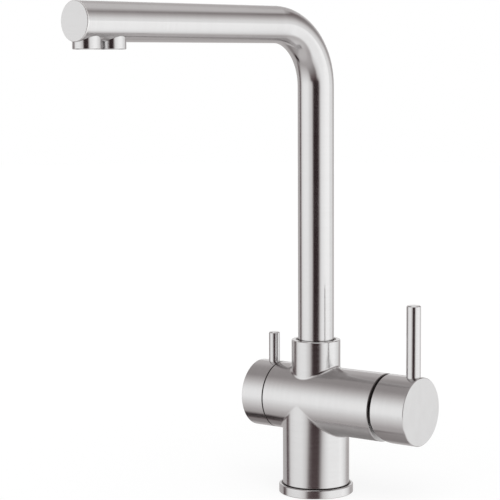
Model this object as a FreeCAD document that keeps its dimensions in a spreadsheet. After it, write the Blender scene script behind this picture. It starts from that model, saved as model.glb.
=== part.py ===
import FreeCAD, Part
import math
import os
import re
import Sketcher
from FreeCAD import Placement, Rotation, Vector

# Three-way kitchen sink mixer, millimetres.
# Z is up and the origin lies on the worktop, in the middle of the base ring.
# The cross tube lies along X: the mixing lever is on +X and the filtered-water knob on -X.
# The front is -Y, and the spout is drawn square to the cross tube, then swung by spout_turn.

doc = FreeCAD.newDocument("kitchen_sink_mixer")
sheet = doc.addObject("Spreadsheet::Sheet", "Sizes")

# Driving dimensions
SIZES = [
    # Base
    ("ring_radius", 25.0),
    ("ring_height", 6.0),
    ("ring_round", 0.8),
    ("ring_land_radius", 21.4),
    ("joint_line", 0.4),
    ("gasket_height", 1.9),
    ("gasket_width", 2.6),
    ("gasket_radius", 22.0),
    ("gasket_play", 0.1),
    ("spigot_radius", 19.0),
    ("spigot_lift", 2.0),
    # Water inlets and the fixing stud, under the trunk
    ("port_circle", 11.0),
    ("port_radius", 5.0),
    ("port_depth", 12.0),
    ("port_angle", 50.0),
    ("stud_radius", 4.0),
    ("stud_depth", 16.0),
    ("channel_radius", 3.0),
    ("filter_channel_radius", 2.4),
    ("riser_overrun", 2.4),
    ("mixed_riser_radius", 2.7),
    # Cast body
    ("trunk_radius", 22.4),
    ("cross_radius", 22.5),
    ("cross_height", 63.5),
    ("mixer_face", 55.8),
    ("filter_face", 28.4),
    ("neck_radius", 16.4),
    ("neck_rise", 40.5),
    ("rim_edge", 0.4),
    ("trunk_fillet", 2.0),
    ("neck_fillet", 2.0),
    # Mixing cartridge, stations along X from the seat in the cross tube
    ("cartridge_seat", 22.0),
    ("cartridge_radius", 17.5),
    ("cartridge_play", 0.1),
    ("cartridge_base_thick", 5.0),
    ("case_bore_radius", 15.0),
    ("case_length", 19.0),
    ("case_lip", 2.4),
    ("case_groove_place", 4.0),
    ("mix_port_radius", 3.0),
    ("mix_port_side", 6.2),
    ("mix_port_rise", 5.0),
    ("mix_outlet_drop", 6.0),
    ("disc_hole_radius", 2.4),
    ("mixing_pocket_radius", 5.2),
    ("mixing_pocket_depth", 2.2),
    ("outlet_pocket_width", 5.8),
    ("outlet_pocket_rim", 1.5),
    ("seal_section", 1.0),
    ("seal_edge", 0.4),
    ("fixed_disc_thick", 4.0),
    ("moving_disc_radius", 11.0),
    ("moving_disc_thick", 3.5),
    ("water_film", 0.05),
    ("carrier_thick", 6.4),
    ("ball_radius", 3.0),
    ("ball_play", 0.3),
    ("ball_pocket_floor", 1.0),
    ("stem_neck_radius", 2.2),
    ("stem_size", 8.0),
    ("stem_side_gap", 0.2),
    ("stem_end", 79.0),
    ("pivot_place", 50.0),
    ("pivot_arm", 11.4),
    ("pivot_pin_radius", 1.5),
    ("pivot_pin_inset", 1.0),
    ("rotor_radius", 11.0),
    ("rotor_flange_thick", 2.0),
    ("rotor_end", 53.0),
    ("rotor_slot_height", 12.0),
    ("nut_radius", 19.2),
    ("nut_bore_radius", 13.6),
    ("nut_thick", 5.0),
    ("nut_slot_width", 4.0),
    ("dome_radius", 15.5),
    ("dome_wall", 1.2),
    ("dome_mouth_radius", 9.0),
    ("dome_flange_thick", 2.0),
    # Mixing lever
    ("hub_gap", 2.2),
    ("hub_length", 25.0),
    ("hub_room_radius", 17.5),
    ("hub_room_depth", 9.5),
    ("relief_start", 6.0),
    ("relief_turn", 13.0),
    ("relief_lean", 1.2),
    ("relief_length", 10.0),
    ("lever_place", 77.0),
    ("lever_radius", 4.7),
    ("lever_length", 59.2),
    ("lever_seat_height", 10.0),
    ("rod_edge", 0.6),
    ("hub_grub_radius", 2.5),
    ("grub_gap", 0.35),
    ("grub_key_depth", 2.0),
    # Filter valve, stations along -X from the seat in the cross tube
    ("valve_seat", 6.0),
    ("valve_bore_radius", 9.0),
    ("valve_recess_radius", 14.0),
    ("valve_recess_depth", 4.0),
    ("valve_seal_thick", 2.0),
    ("valve_seal_lap", 1.0),
    ("valve_waist_radius", 7.6),
    ("valve_waist_length", 7.0),
    ("valve_lip", 1.5),
    ("valve_disc_radius", 6.4),
    ("valve_disc_thick", 2.45),
    ("valve_disc_inset", 0.5),
    ("valve_window_radius", 1.5),
    ("valve_window_lap", 0.2),
    ("valve_hole_radius", 1.9),
    ("valve_hole_place", 3.5),
    ("valve_flange_thick", 3.0),
    ("flange_groove_place", 2.0),
    ("valve_neck_radius", 8.0),
    ("valve_end", 31.0),
    ("spindle_radius", 5.0),
    ("spindle_foot_thick", 3.0),
    ("spindle_groove_place", 4.0),
    ("spindle_groove_spacing", 4.0),
    ("spline_radius", 4.0),
    ("spindle_end", 42.5),
    ("clip_thick", 0.8),
    ("clip_width", 1.6),
    ("clip_mouth_width", 5.6),
    ("clip_shoulder", 0.35),
    # Filter knob
    ("knob_gap", 0.6),
    ("knob_length", 17.1),
    ("knob_room_depth", 3.4),
    ("knob_room_gap", 0.5),
    ("spindle_end_gap", 0.2),
    ("filter_rod_place", 34.7),
    ("filter_rod_radius", 3.7),
    ("filter_rod_length", 28.5),
    ("filter_rod_seat", 14.0),
    ("knob_grub_radius", 2.0),
    ("grub_flat_depth", 0.5),
    ("grub_flat_margin", 0.5),
    # Swivel joint in the neck, stations upwards from the cross tube's axis
    ("mixing_room_rise", 12.5),
    ("mixing_room_radius", 11.0),
    ("mixing_room_height", 8.0),
    ("swivel_gap", 0.3),
    ("glide_thick", 0.6),
    ("spigot_grip", 10.0),
    ("spigot_wall", 1.6),
    ("tube_foot_rise", 8.0),
    ("groove_width", 3.2),
    ("groove_depth", 1.4),
    ("groove_rise", 4.0),
    ("seal_groove_rise", 2.2),
    ("seal_groove_spacing", 3.0),
    ("retainer_radius", 2.5),
    ("retainer_play", 0.1),
    ("retainer_step", 0.3),
    ("retainer_inset", 0.3),
    ("oring_section", 0.8),
    ("oring_flat", 0.36),
    ("oring_room", 0.2),
    ("nipple_radius", 4.0),
    ("nipple_gap", 0.2),
    ("nipple_end_gap", 0.5),
    ("nipple_groove_rise", 5.0),
    ("spigot_bore_radius", 7.9),
    ("spigot_floor_gap", 1.0),
    ("spigot_hub_radius", 6.2),
    ("spigot_hub_rise", 6.0),
    ("tail_length", 8.0),
    ("nipple_thread_radius", 4.5),
    ("nipple_thread_length", 6.0),
    ("nipple_length", 10.5),
    ("nipple_bore_radius", 1.8),
    ("web_thick", 2.0),
    ("web_rise", 2.0),
    # Spout
    ("tube_radius", 12.0),
    ("tube_wall", 1.0),
    ("spout_height", 313.5),
    ("bend_radius", 40.0),
    ("spout_reach", 209.0),
    ("spout_turn", 6.8),
    ("end_cap_thick", 1.2),
    ("end_cap_plug", 3.0),
    ("end_cap_edge", 0.3),
    ("cap_plug_gap", 0.5),
    ("inner_tube_radius", 4.0),
    ("inner_tube_wall", 1.0),
    ("inner_tube_gap", 0.5),
    # Outlets
    ("front_outlet_inset", 9.4),
    ("outlet_spacing", 19.6),
    ("elbow_length", 12.0),
    ("elbow_tail", 7.0),
    ("outlet_radius", 8.5),
    ("outlet_drop", 4.3),
    ("outlet_neck_radius", 7.2),
    ("outlet_neck_wall", 1.6),
    ("outlet_neck_rise", 4.5),
    ("outlet_lip", 1.0),
    ("outlet_edge", 0.4),
    ("aerator_radius", 6.4),
    ("aerator_thick", 4.8),
    ("aerator_inset", 0.5),
    ("aerator_hole_radius", 0.7),
    ("aerator_inner_circle", 2.3),
    ("aerator_outer_circle", 4.6),
    ("former_circle", 2.6),
    ("washer_thick", 1.0),
    ("washer_bore_radius", 4.2),
    ("elbow_radius", 4.5),
    # Fits
    ("close_fit", 0.05),
]

size = {}
for row, (alias, number) in enumerate(SIZES, 1):
    cell = "A%d" % row
    sheet.set(cell, str(number))
    sheet.setAlias(cell, alias)
    size[alias] = number
doc.recompute()

alias_words = re.compile(r"\b(" + "|".join(alias for alias, number in SIZES) + r")\b")
AXES = {
    "z": Rotation(),
    "x": Rotation(Vector(0, 1, 0), 90),
    "-x": Rotation(Vector(0, 1, 0), -90),
    "-y": Rotation(Vector(1, 0, 0), 90),
    "y": Rotation(Vector(1, 0, 0), -90),
}
parts = []

# How far a cut starts before, and ends after, the wall that it opens
CUT_PAST = 1.0
# Spacing of an outline's points before its constraints place them
GUESS_ACROSS = 5.0
GUESS_UP = 3.0
# Lengths nearer to each other than this are the same
SAME_PLACE = 0.01
# Slack in the tests that find the edges of the inner corners
CORNER_SLACK = 0.5
# No piece is smaller than this, in cubic millimetres
LEAST_VOLUME = 1.0
# Holes in the mixed water's aerator and in the filtered water's flow former
INNER_HOLES = 6
OUTER_HOLES = 12


def from_sheet(text):
    """An expression whose size names point at the sheet."""
    return alias_words.sub(r"Sizes.\1", str(text)).replace("CUT_PAST", str(CUT_PAST))


def bind(feature, prop, text):
    feature.setExpression(prop, from_sheet(text))


def new_part(label):
    """A sub-part: its label is also its file name and its node name."""
    body = doc.addObject("PartDesign::Body", label)
    body.Label = label
    parts.append(body)
    return body


def on_spout(body):
    """Swing a spout piece about the vertical axis of the neck."""
    body.Placement = Placement(Vector(), Rotation(Vector(0, 0, -1), size["spout_turn"]))
    bind(body, "Placement.Rotation.Angle", "spout_turn")


def origin_plane(body, role):
    return [feature for feature in body.Origin.OriginFeatures if feature.Role == role][0]


def flat_sketch(body, name, plane):
    sketch = body.newObject("Sketcher::SketchObject", name)
    sketch.AttachmentSupport = [(origin_plane(body, plane), "")]
    sketch.MapMode = "FlatFace"
    return sketch


def pin_point(sketch, line, end, across, up, start):
    """Hold one end of a line at a distance from the sketch's origin."""
    held = sketch.addConstraint(Sketcher.Constraint("DistanceX", -1, 1, line, end, start.x))
    sketch.setExpression("Constraints[%d]" % held, from_sheet(across))
    held = sketch.addConstraint(Sketcher.Constraint("DistanceY", -1, 1, line, end, start.y))
    sketch.setExpression("Constraints[%d]" % held, from_sheet(up))


def outline(sketch, points):
    """A closed outline of straight lines through points given as expressions."""
    count = len(points)
    start = [Vector(GUESS_ACROSS * i, GUESS_UP * i * i, 0) for i in range(1, count + 1)]
    for i in range(count):
        sketch.addGeometry(Part.LineSegment(start[i], start[(i + 1) % count]), False)
    for i in range(count):
        sketch.addConstraint(Sketcher.Constraint("Coincident", i, 2, (i + 1) % count, 1))
    for i, (across, up) in enumerate(points):
        pin_point(sketch, i, 1, across, up, start[i])


def turned(body, name, axis, points, back="0", cut=False):
    """A profile turned through a full circle.

    axis x: points are (x, radius) about the cross tube's axis.
    axis y: points are (y, radius) about the spout's axis.
    axis z: points are (radius, z) about a vertical axis that stands at y = -back.
    """
    sketch = flat_sketch(body, name + "_profile", "YZ_Plane" if axis == "y" else "XZ_Plane")
    if axis == "x":
        bind(sketch, "AttachmentOffset.Base.y", "cross_height")
    elif axis == "y":
        bind(sketch, "AttachmentOffset.Base.y", "spout_height")
    else:
        bind(sketch, "AttachmentOffset.Base.z", back)
    outline(sketch, points)
    feature = body.newObject("PartDesign::Groove" if cut else "PartDesign::Revolution", name)
    feature.Profile = sketch
    feature.ReferenceAxis = (sketch, ["V_Axis" if axis == "z" else "H_Axis"])
    feature.Angle = 360
    return feature


def put(feature, at, along):
    feature.Placement = Placement(Vector(), AXES[along])
    for letter, where in zip("xyz", at):
        bind(feature, "Placement.Base." + letter, where)


def cylinder(body, name, radius, length, at, along="z", cut=False):
    kind = "PartDesign::SubtractiveCylinder" if cut else "PartDesign::AdditiveCylinder"
    feature = body.newObject(kind, name)
    bind(feature, "Radius", radius)
    bind(feature, "Height", length)
    put(feature, at, along)
    return feature


def box(body, name, spans, at, cut=False):
    kind = "PartDesign::SubtractiveBox" if cut else "PartDesign::AdditiveBox"
    feature = body.newObject(kind, name)
    for prop, span in zip(("Length", "Width", "Height"), spans):
        bind(feature, prop, span)
    put(feature, at, "z")
    return feature


def sphere(body, name, radius, at, cut=False):
    kind = "PartDesign::SubtractiveSphere" if cut else "PartDesign::AdditiveSphere"
    feature = body.newObject(kind, name)
    bind(feature, "Radius", radius)
    put(feature, at, "z")
    return feature


def sealing_ring(body, name, axis, ring, place):
    """An O-ring squeezed in its groove: round corners stand as bevels between its flats."""
    corners = [
        ("-oring_section", "-oring_flat"),
        ("-oring_flat", "-oring_section"),
        ("oring_flat", "-oring_section"),
        ("oring_section", "-oring_flat"),
        ("oring_section", "oring_flat"),
        ("oring_flat", "oring_section"),
        ("-oring_flat", "oring_section"),
        ("-oring_section", "oring_flat"),
    ]
    points = []
    for along, out in corners:
        station = "%s + %s" % (place, along)
        radius = "%s + %s" % (ring, out)
        points.append((station, radius) if axis == "x" else (radius, station))
    return turned(body, name, axis, points)


def edges_of(feature, wanted):
    """Names of the edges whose box and length pass the test."""
    doc.recompute()
    return ["Edge%d" % i for i, edge in enumerate(feature.Shape.Edges, 1) if wanted(edge, edge.BoundBox)]


def soften(body, name, amount, feature, wanted, kind="PartDesign::Chamfer"):
    """Break or round the wanted edges of a finished feature."""
    names = edges_of(feature, wanted)
    edge_work = body.newObject(kind, name)
    edge_work.Base = (feature, names)
    bind(edge_work, "Radius" if kind.endswith("Fillet") else "Size", amount)
    doc.recompute()
    return edge_work


def near(a, b):
    return abs(a - b) < SAME_PLACE


def ring_at_x(place, radius):
    """Test for a circle about the cross tube's axis."""
    def wanted(edge, span):
        return near(span.XMin, place) and near(span.XMax, place) and near(span.YMax, radius)
    return wanted


def ring_at_z(place, radius):
    """Test for a circle about the vertical axis."""
    def wanted(edge, span):
        return near(span.ZMin, place) and near(span.ZMax, place) and near(span.XMax, radius)
    return wanted


# Derived places, as expressions
TRUNK_FOOT = "(ring_height + joint_line)"
HUB_BACK = "(mixer_face + hub_gap)"
HUB_END = "(mixer_face + hub_gap + hub_length)"
DISC_FACE = "(cartridge_seat + cartridge_base_thick + fixed_disc_thick)"
CARRIER_FACE = "(cartridge_seat + cartridge_base_thick + fixed_disc_thick + water_film + moving_disc_thick)"
CASE_END = "(cartridge_seat + cartridge_base_thick + case_length)"
CASE_ROOF = "(%s - case_lip)" % CASE_END
NUT_END = "(%s + nut_thick)" % CASE_END
VALVE_START = "(valve_seat + valve_seal_thick)"
VALVE_FLANGE = "(filter_face - valve_recess_depth)"
VALVE_DISCS = "(%s + valve_disc_inset)" % VALVE_START
KNOB_FACE = "(filter_face + knob_gap)"
KNOB_END = "(filter_face + knob_gap + knob_length)"
NECK_TOP = "(cross_height + neck_rise)"
MIXING_FLOOR = "(cross_height + mixing_room_rise)"
NECK_LEDGE = "(%s + mixing_room_height)" % MIXING_FLOOR
GROOVE_HEIGHT = "(%s + groove_rise)" % NECK_LEDGE
TUBE_FOOT = "(%s + tube_foot_rise)" % NECK_LEDGE
SPIGOT_FOOT = "(%s + spigot_floor_gap)" % MIXING_FLOOR
SPIGOT_HUB_TOP = "(%s + spigot_hub_rise)" % NECK_LEDGE
SPIGOT_END = "(%s + spigot_grip)" % TUBE_FOOT
NIPPLE_TOP = "(%s + nipple_length)" % MIXING_FLOOR
FRONT_OUTLET = "(spout_reach - front_outlet_inset)"
REAR_OUTLET = "(spout_reach - front_outlet_inset - outlet_spacing)"
INNER_TUBE_END = "(%s - elbow_length)" % REAR_OUTLET
OUTLET_FOOT = "(spout_height - tube_radius - outlet_drop)"
OUTLET_NECK_TOP = "(spout_height - tube_radius + outlet_neck_rise)"
AERATOR_TOP = "(%s + aerator_inset + aerator_thick)" % OUTLET_FOOT
GROOVE_HALF = "(oring_section + oring_room)"


def make_base():
    """Ring on the worktop, with the rubber gasket in the groove under it."""
    ring = new_part("base_ring")
    inner = "gasket_radius - gasket_width / 2 - gasket_play"
    outer = "gasket_radius + gasket_width / 2 + gasket_play"
    solid = turned(ring, "ring_turned", "z", [
        ("spigot_radius + cartridge_play", "0"),
        (inner, "0"),
        (inner, "gasket_height"),
        (outer, "gasket_height"),
        (outer, "0"),
        ("ring_radius", "0"),
        ("ring_radius", "ring_height"),
        ("ring_land_radius", "ring_height"),
        ("ring_land_radius", TRUNK_FOOT),
        ("spigot_radius + cartridge_play", TRUNK_FOOT),
    ])
    soften(ring, "ring_top_round", "ring_round", solid, ring_at_z(size["ring_height"], size["ring_radius"]),
           "PartDesign::Fillet")
    foot = ring.Tip
    soften(ring, "ring_foot_edge", "rim_edge", foot, ring_at_z(0, size["ring_radius"]))

    gasket = new_part("base_gasket")
    turned(gasket, "gasket_turned", "z", [
        ("gasket_radius - gasket_width / 2", "0"),
        ("gasket_radius + gasket_width / 2", "0"),
        ("gasket_radius + gasket_width / 2", "gasket_height"),
        ("gasket_radius - gasket_width / 2", "gasket_height"),
    ])


def make_casting():
    """Trunk, cross tube and neck collar in one piece, drilled for the water."""
    cast = new_part("body_casting")
    cylinder(cast, "cross_tube", "cross_radius", "mixer_face + filter_face",
             ("-filter_face", "0", "cross_height"), "x")
    cylinder(cast, "trunk", "trunk_radius", "cross_height - %s" % TRUNK_FOOT, ("0", "0", TRUNK_FOOT))
    neck = cylinder(cast, "neck", "neck_radius", "neck_rise", ("0", "0", "cross_height"))

    # Inner corners are rounded where the trunk and the neck meet the cross tube
    axis_height = size["cross_height"]
    tube_radius = size["cross_radius"]

    def trunk_corner(edge, span):
        low = axis_height - tube_radius - CORNER_SLACK
        return low < span.ZMin and span.ZMax < axis_height and span.XMax < tube_radius

    def neck_corner(edge, span):
        high = axis_height + tube_radius + CORNER_SLACK
        return axis_height < span.ZMin and span.ZMax < high and near(span.XMax, size["neck_radius"])

    rims = soften(cast, "trunk_corner", "trunk_fillet", neck, trunk_corner, "PartDesign::Fillet")
    rims = soften(cast, "neck_corner", "neck_fillet", rims, neck_corner, "PartDesign::Fillet")
    rims = soften(cast, "mixer_rim", "rim_edge", rims,
                  ring_at_x(size["mixer_face"], size["cross_radius"]))
    rims = soften(cast, "filter_rim", "rim_edge / 2", rims,
                  ring_at_x(-size["filter_face"], size["cross_radius"]))
    soften(cast, "neck_rim", "rim_edge", rims,
           ring_at_z(size["cross_height"] + size["neck_rise"], size["neck_radius"]))

    # Foot: centring spigot, with the threaded holes for the hoses and the fixing stud in its underside
    cylinder(cast, "foot_spigot", "spigot_radius", "%s - spigot_lift + CUT_PAST" % TRUNK_FOOT,
             ("0", "0", "spigot_lift"))
    hole_start = "spigot_lift - CUT_PAST"
    hot_x = "port_circle * cos(port_angle)"
    hot_y = "port_circle * sin(port_angle)"
    places = {"hot": (hot_x, hot_y), "cold": (hot_x, "-" + hot_y), "filter": ("-port_circle", "0")}
    for water, (x, y) in places.items():
        cylinder(cast, water + "_port", "port_radius", "port_depth + CUT_PAST", (x, y, hole_start), cut=True)
    cylinder(cast, "stud_hole", "stud_radius", "stud_depth + CUT_PAST", ("0", "0", hole_start), cut=True)

    # Hot and cold rise to the cartridge seat
    port_roof = "(spigot_lift + port_depth)"
    channel_height = "(cross_height + mix_port_rise)"
    for water in ("hot", "cold"):
        x, y = places[water]
        cylinder(cast, water + "_riser", "channel_radius",
                 "%s + riser_overrun - %s" % (channel_height, port_roof), (x, y, port_roof), cut=True)
        cylinder(cast, water + "_feed", "mix_port_radius", "cartridge_seat + CUT_PAST - " + x,
                 (x, "mix_port_side" if water == "hot" else "-mix_port_side", channel_height), "x", cut=True)

    # Mixed water returns to the neck
    outlet_height = "(cross_height - mix_outlet_drop)"
    room_side = "(mixing_room_radius - mix_port_radius)"
    cylinder(cast, "mixed_return", "mix_port_radius", "cartridge_seat + CUT_PAST - %s" % room_side,
             (room_side, "0", outlet_height), "x", cut=True)
    cylinder(cast, "mixed_riser", "mixed_riser_radius", "%s + CUT_PAST - %s" % (MIXING_FLOOR, outlet_height),
             (room_side, "0", outlet_height), cut=True)

    # Cartridge room with its nut's wider mouth
    turned(cast, "cartridge_room", "x", [
        ("cartridge_seat", "0"),
        ("mixer_face + CUT_PAST", "0"),
        ("mixer_face + CUT_PAST", "nut_radius + cartridge_play"),
        (CASE_END, "nut_radius + cartridge_play"),
        (CASE_END, "cartridge_radius + cartridge_play"),
        ("cartridge_seat", "cartridge_radius + cartridge_play"),
    ], cut=True)

    # Filter valve room, and the filtered water's way to the nipple
    turned(cast, "valve_room", "x", [
        ("-valve_seat", "0"),
        ("-filter_face - CUT_PAST", "0"),
        ("-filter_face - CUT_PAST", "valve_recess_radius"),
        ("-" + VALVE_FLANGE, "valve_recess_radius"),
        ("-" + VALVE_FLANGE, "valve_bore_radius"),
        ("-valve_seat", "valve_bore_radius"),
    ], cut=True)
    cylinder(cast, "filter_riser", "filter_channel_radius",
             "cross_height - valve_bore_radius + 2 * CUT_PAST - %s" % port_roof,
             ("-port_circle", "0", port_roof), cut=True)
    cylinder(cast, "filter_way", "filter_channel_radius", "valve_seat + 3 * CUT_PAST",
             ("-valve_seat - CUT_PAST", "0", "cross_height"), "x", cut=True)
    cylinder(cast, "filter_lift", "filter_channel_radius", "mixing_room_rise",
             ("0", "0", "cross_height"), cut=True)
    cylinder(cast, "nipple_seat", "nipple_thread_radius + close_fit", "nipple_thread_length + CUT_PAST",
             ("0", "0", MIXING_FLOOR + " - nipple_thread_length"), cut=True)

    # Mixing room and the socket for the spout in the neck
    turned(cast, "neck_socket", "z", [
        ("0", MIXING_FLOOR),
        ("mixing_room_radius", MIXING_FLOOR),
        ("mixing_room_radius", NECK_LEDGE),
        ("tube_radius + swivel_gap", NECK_LEDGE),
        ("tube_radius + swivel_gap", NECK_TOP + " + CUT_PAST"),
        ("0", NECK_TOP + " + CUT_PAST"),
    ], cut=True)
    cylinder(cast, "retainer_hole", "retainer_radius + close_fit", "neck_radius", ("0", "0", GROOVE_HEIGHT),
             "y", cut=True)


def make_cartridge():
    """Ceramic mixing cartridge: sealed base, two discs, turret and stem, held by a ring nut."""
    seat = "cartridge_seat"
    feed_height = "cross_height + mix_port_rise"
    outlet_height = "cross_height - mix_outlet_drop"
    ports = {
        "hot": ("mix_port_side", feed_height),
        "cold": ("-mix_port_side", feed_height),
        "mixed": ("0", outlet_height),
    }

    base = new_part("cartridge_base")
    turned(base, "base_turned", "x", [
        (seat, "0"),
        ("cartridge_seat + cartridge_base_thick", "0"),
        ("cartridge_seat + cartridge_base_thick", "cartridge_radius"),
        (seat, "cartridge_radius"),
    ])
    for water, (y, z) in ports.items():
        cylinder(base, water + "_hole", "disc_hole_radius", "cartridge_base_thick + 2 * CUT_PAST",
                 ("cartridge_seat - CUT_PAST", y, z), "x", cut=True)
        cylinder(base, water + "_seal_seat", "mix_port_radius + seal_edge", "seal_section",
                 (seat, y, z), "x", cut=True)

    seals = new_part("cartridge_port_seals")
    for water, (y, z) in ports.items():
        cylinder(seals, water + "_seal", "mix_port_radius + seal_edge - close_fit", "seal_section",
                 (seat, y, z), "x")
    for water, (y, z) in ports.items():
        cylinder(seals, water + "_seal_hole", "disc_hole_radius", "seal_section + 2 * CUT_PAST",
                 ("cartridge_seat - CUT_PAST", y, z), "x", cut=True)

    fixed = new_part("mixer_fixed_disc")
    cylinder(fixed, "disc", "case_bore_radius - cartridge_play", "fixed_disc_thick",
             ("cartridge_seat + cartridge_base_thick", "0", "cross_height"), "x")
    for water, (y, z) in ports.items():
        cylinder(fixed, water + "_hole", "disc_hole_radius", "fixed_disc_thick + 2 * CUT_PAST",
                 ("cartridge_seat + cartridge_base_thick - CUT_PAST", y, z), "x", cut=True)

    groove = "(cartridge_seat + cartridge_base_thick + case_groove_place)"
    groove_floor = "cartridge_radius + cartridge_play - 2 * oring_section - close_fit"
    case = new_part("cartridge_case")
    turned(case, "case_turned", "x", [
        ("cartridge_seat + cartridge_base_thick", "case_bore_radius"),
        (CASE_ROOF, "case_bore_radius"),
        (CASE_ROOF, "rotor_radius + swivel_gap"),
        (CASE_END, "rotor_radius + swivel_gap"),
        (CASE_END, "cartridge_radius"),
        ("%s + %s" % (groove, GROOVE_HALF), "cartridge_radius"),
        ("%s + %s" % (groove, GROOVE_HALF), groove_floor),
        ("%s - %s" % (groove, GROOVE_HALF), groove_floor),
        ("%s - %s" % (groove, GROOVE_HALF), "cartridge_radius"),
        ("cartridge_seat + cartridge_base_thick", "cartridge_radius"),
    ])

    oring = new_part("case_oring")
    sealing_ring(oring, "ring", "x", "cartridge_radius + cartridge_play - oring_section - close_fit / 2",
                 groove)

    nut = new_part("cartridge_nut")
    turned(nut, "nut_turned", "x", [
        (CASE_END, "nut_bore_radius"),
        (NUT_END, "nut_bore_radius"),
        (NUT_END, "nut_radius"),
        (CASE_END, "nut_radius"),
    ])
    through = "(2 * nut_radius + 2 * CUT_PAST)"
    slots = (("upright_slot", "nut_slot_width", through), ("level_slot", through, "nut_slot_width"))
    for name, across, up in slots:
        box(nut, name, ("nut_thick / 2", across, up),
            ("%s - nut_thick / 2" % NUT_END, "-%s / 2" % across, "cross_height - %s / 2" % up), cut=True)

    dome = new_part("dome_cover")
    pivot = ("pivot_place", "0", "cross_height")
    sphere(dome, "dome", "dome_radius", pivot)
    cylinder(dome, "back_cut", "dome_radius + CUT_PAST", "dome_radius * 2",
             ("%s - dome_radius * 2" % NUT_END, "0", "cross_height"), "x", cut=True)
    cylinder(dome, "flange", "nut_radius", "dome_flange_thick", (NUT_END, "0", "cross_height"), "x")
    sphere(dome, "hollow", "dome_radius - dome_wall", pivot, cut=True)
    cylinder(dome, "mouth", "dome_mouth_radius", "dome_radius * 2", pivot, "x", cut=True)


def make_rotor():
    """Turret that turns with the lever and carries the tilting stem on a cross pin."""
    rotor = new_part("cartridge_rotor")
    flange = "(%s - swivel_gap - rotor_flange_thick)" % CASE_ROOF
    turned(rotor, "rotor_turned", "x", [
        (flange, "0"),
        ("rotor_end", "0"),
        ("rotor_end", "rotor_radius"),
        ("%s - swivel_gap" % CASE_ROOF, "rotor_radius"),
        ("%s - swivel_gap" % CASE_ROOF, "case_bore_radius - swivel_gap"),
        (flange, "case_bore_radius - swivel_gap"),
    ])
    box(rotor, "stem_slot", ("rotor_end", "stem_size + 2 * stem_side_gap", "rotor_slot_height"),
        ("cartridge_seat", "-stem_size / 2 - stem_side_gap", "cross_height - rotor_slot_height / 2"),
        cut=True)
    cylinder(rotor, "pin_hole", "pivot_pin_radius + close_fit", "2 * rotor_radius + 2 * CUT_PAST",
             ("pivot_place", "rotor_radius + CUT_PAST", "cross_height"), "-y", cut=True)

    pin = new_part("stem_pivot_pin")
    cylinder(pin, "pin", "pivot_pin_radius", "2 * rotor_radius - 2 * pivot_pin_inset",
             ("pivot_place", "rotor_radius - pivot_pin_inset", "cross_height"), "-y")

    carrier = new_part("disc_carrier")
    cylinder(carrier, "carrier", "moving_disc_radius", "carrier_thick",
             (CARRIER_FACE, "0", "cross_height"), "x")
    cylinder(carrier, "ball_pocket", "ball_radius + ball_play", "carrier_thick",
             ("%s + ball_pocket_floor" % CARRIER_FACE, "0", "cross_height"), "x", cut=True)

    # The round pocket joins the inlets to the outlet only when the disc has slid towards them
    moving = new_part("mixer_moving_disc")
    cylinder(moving, "disc", "moving_disc_radius", "moving_disc_thick",
             ("%s + water_film" % DISC_FACE, "0", "cross_height"), "x")
    cylinder(moving, "mixing_pocket", "mixing_pocket_radius", "mixing_pocket_depth + water_film",
             (DISC_FACE, "0", "cross_height"), "x", cut=True)
    box(moving, "outlet_pocket",
        ("mixing_pocket_depth + water_film", "outlet_pocket_width", "moving_disc_radius - outlet_pocket_rim"),
        (DISC_FACE, "-outlet_pocket_width / 2", "cross_height - moving_disc_radius + outlet_pocket_rim"),
        cut=True)


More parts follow.
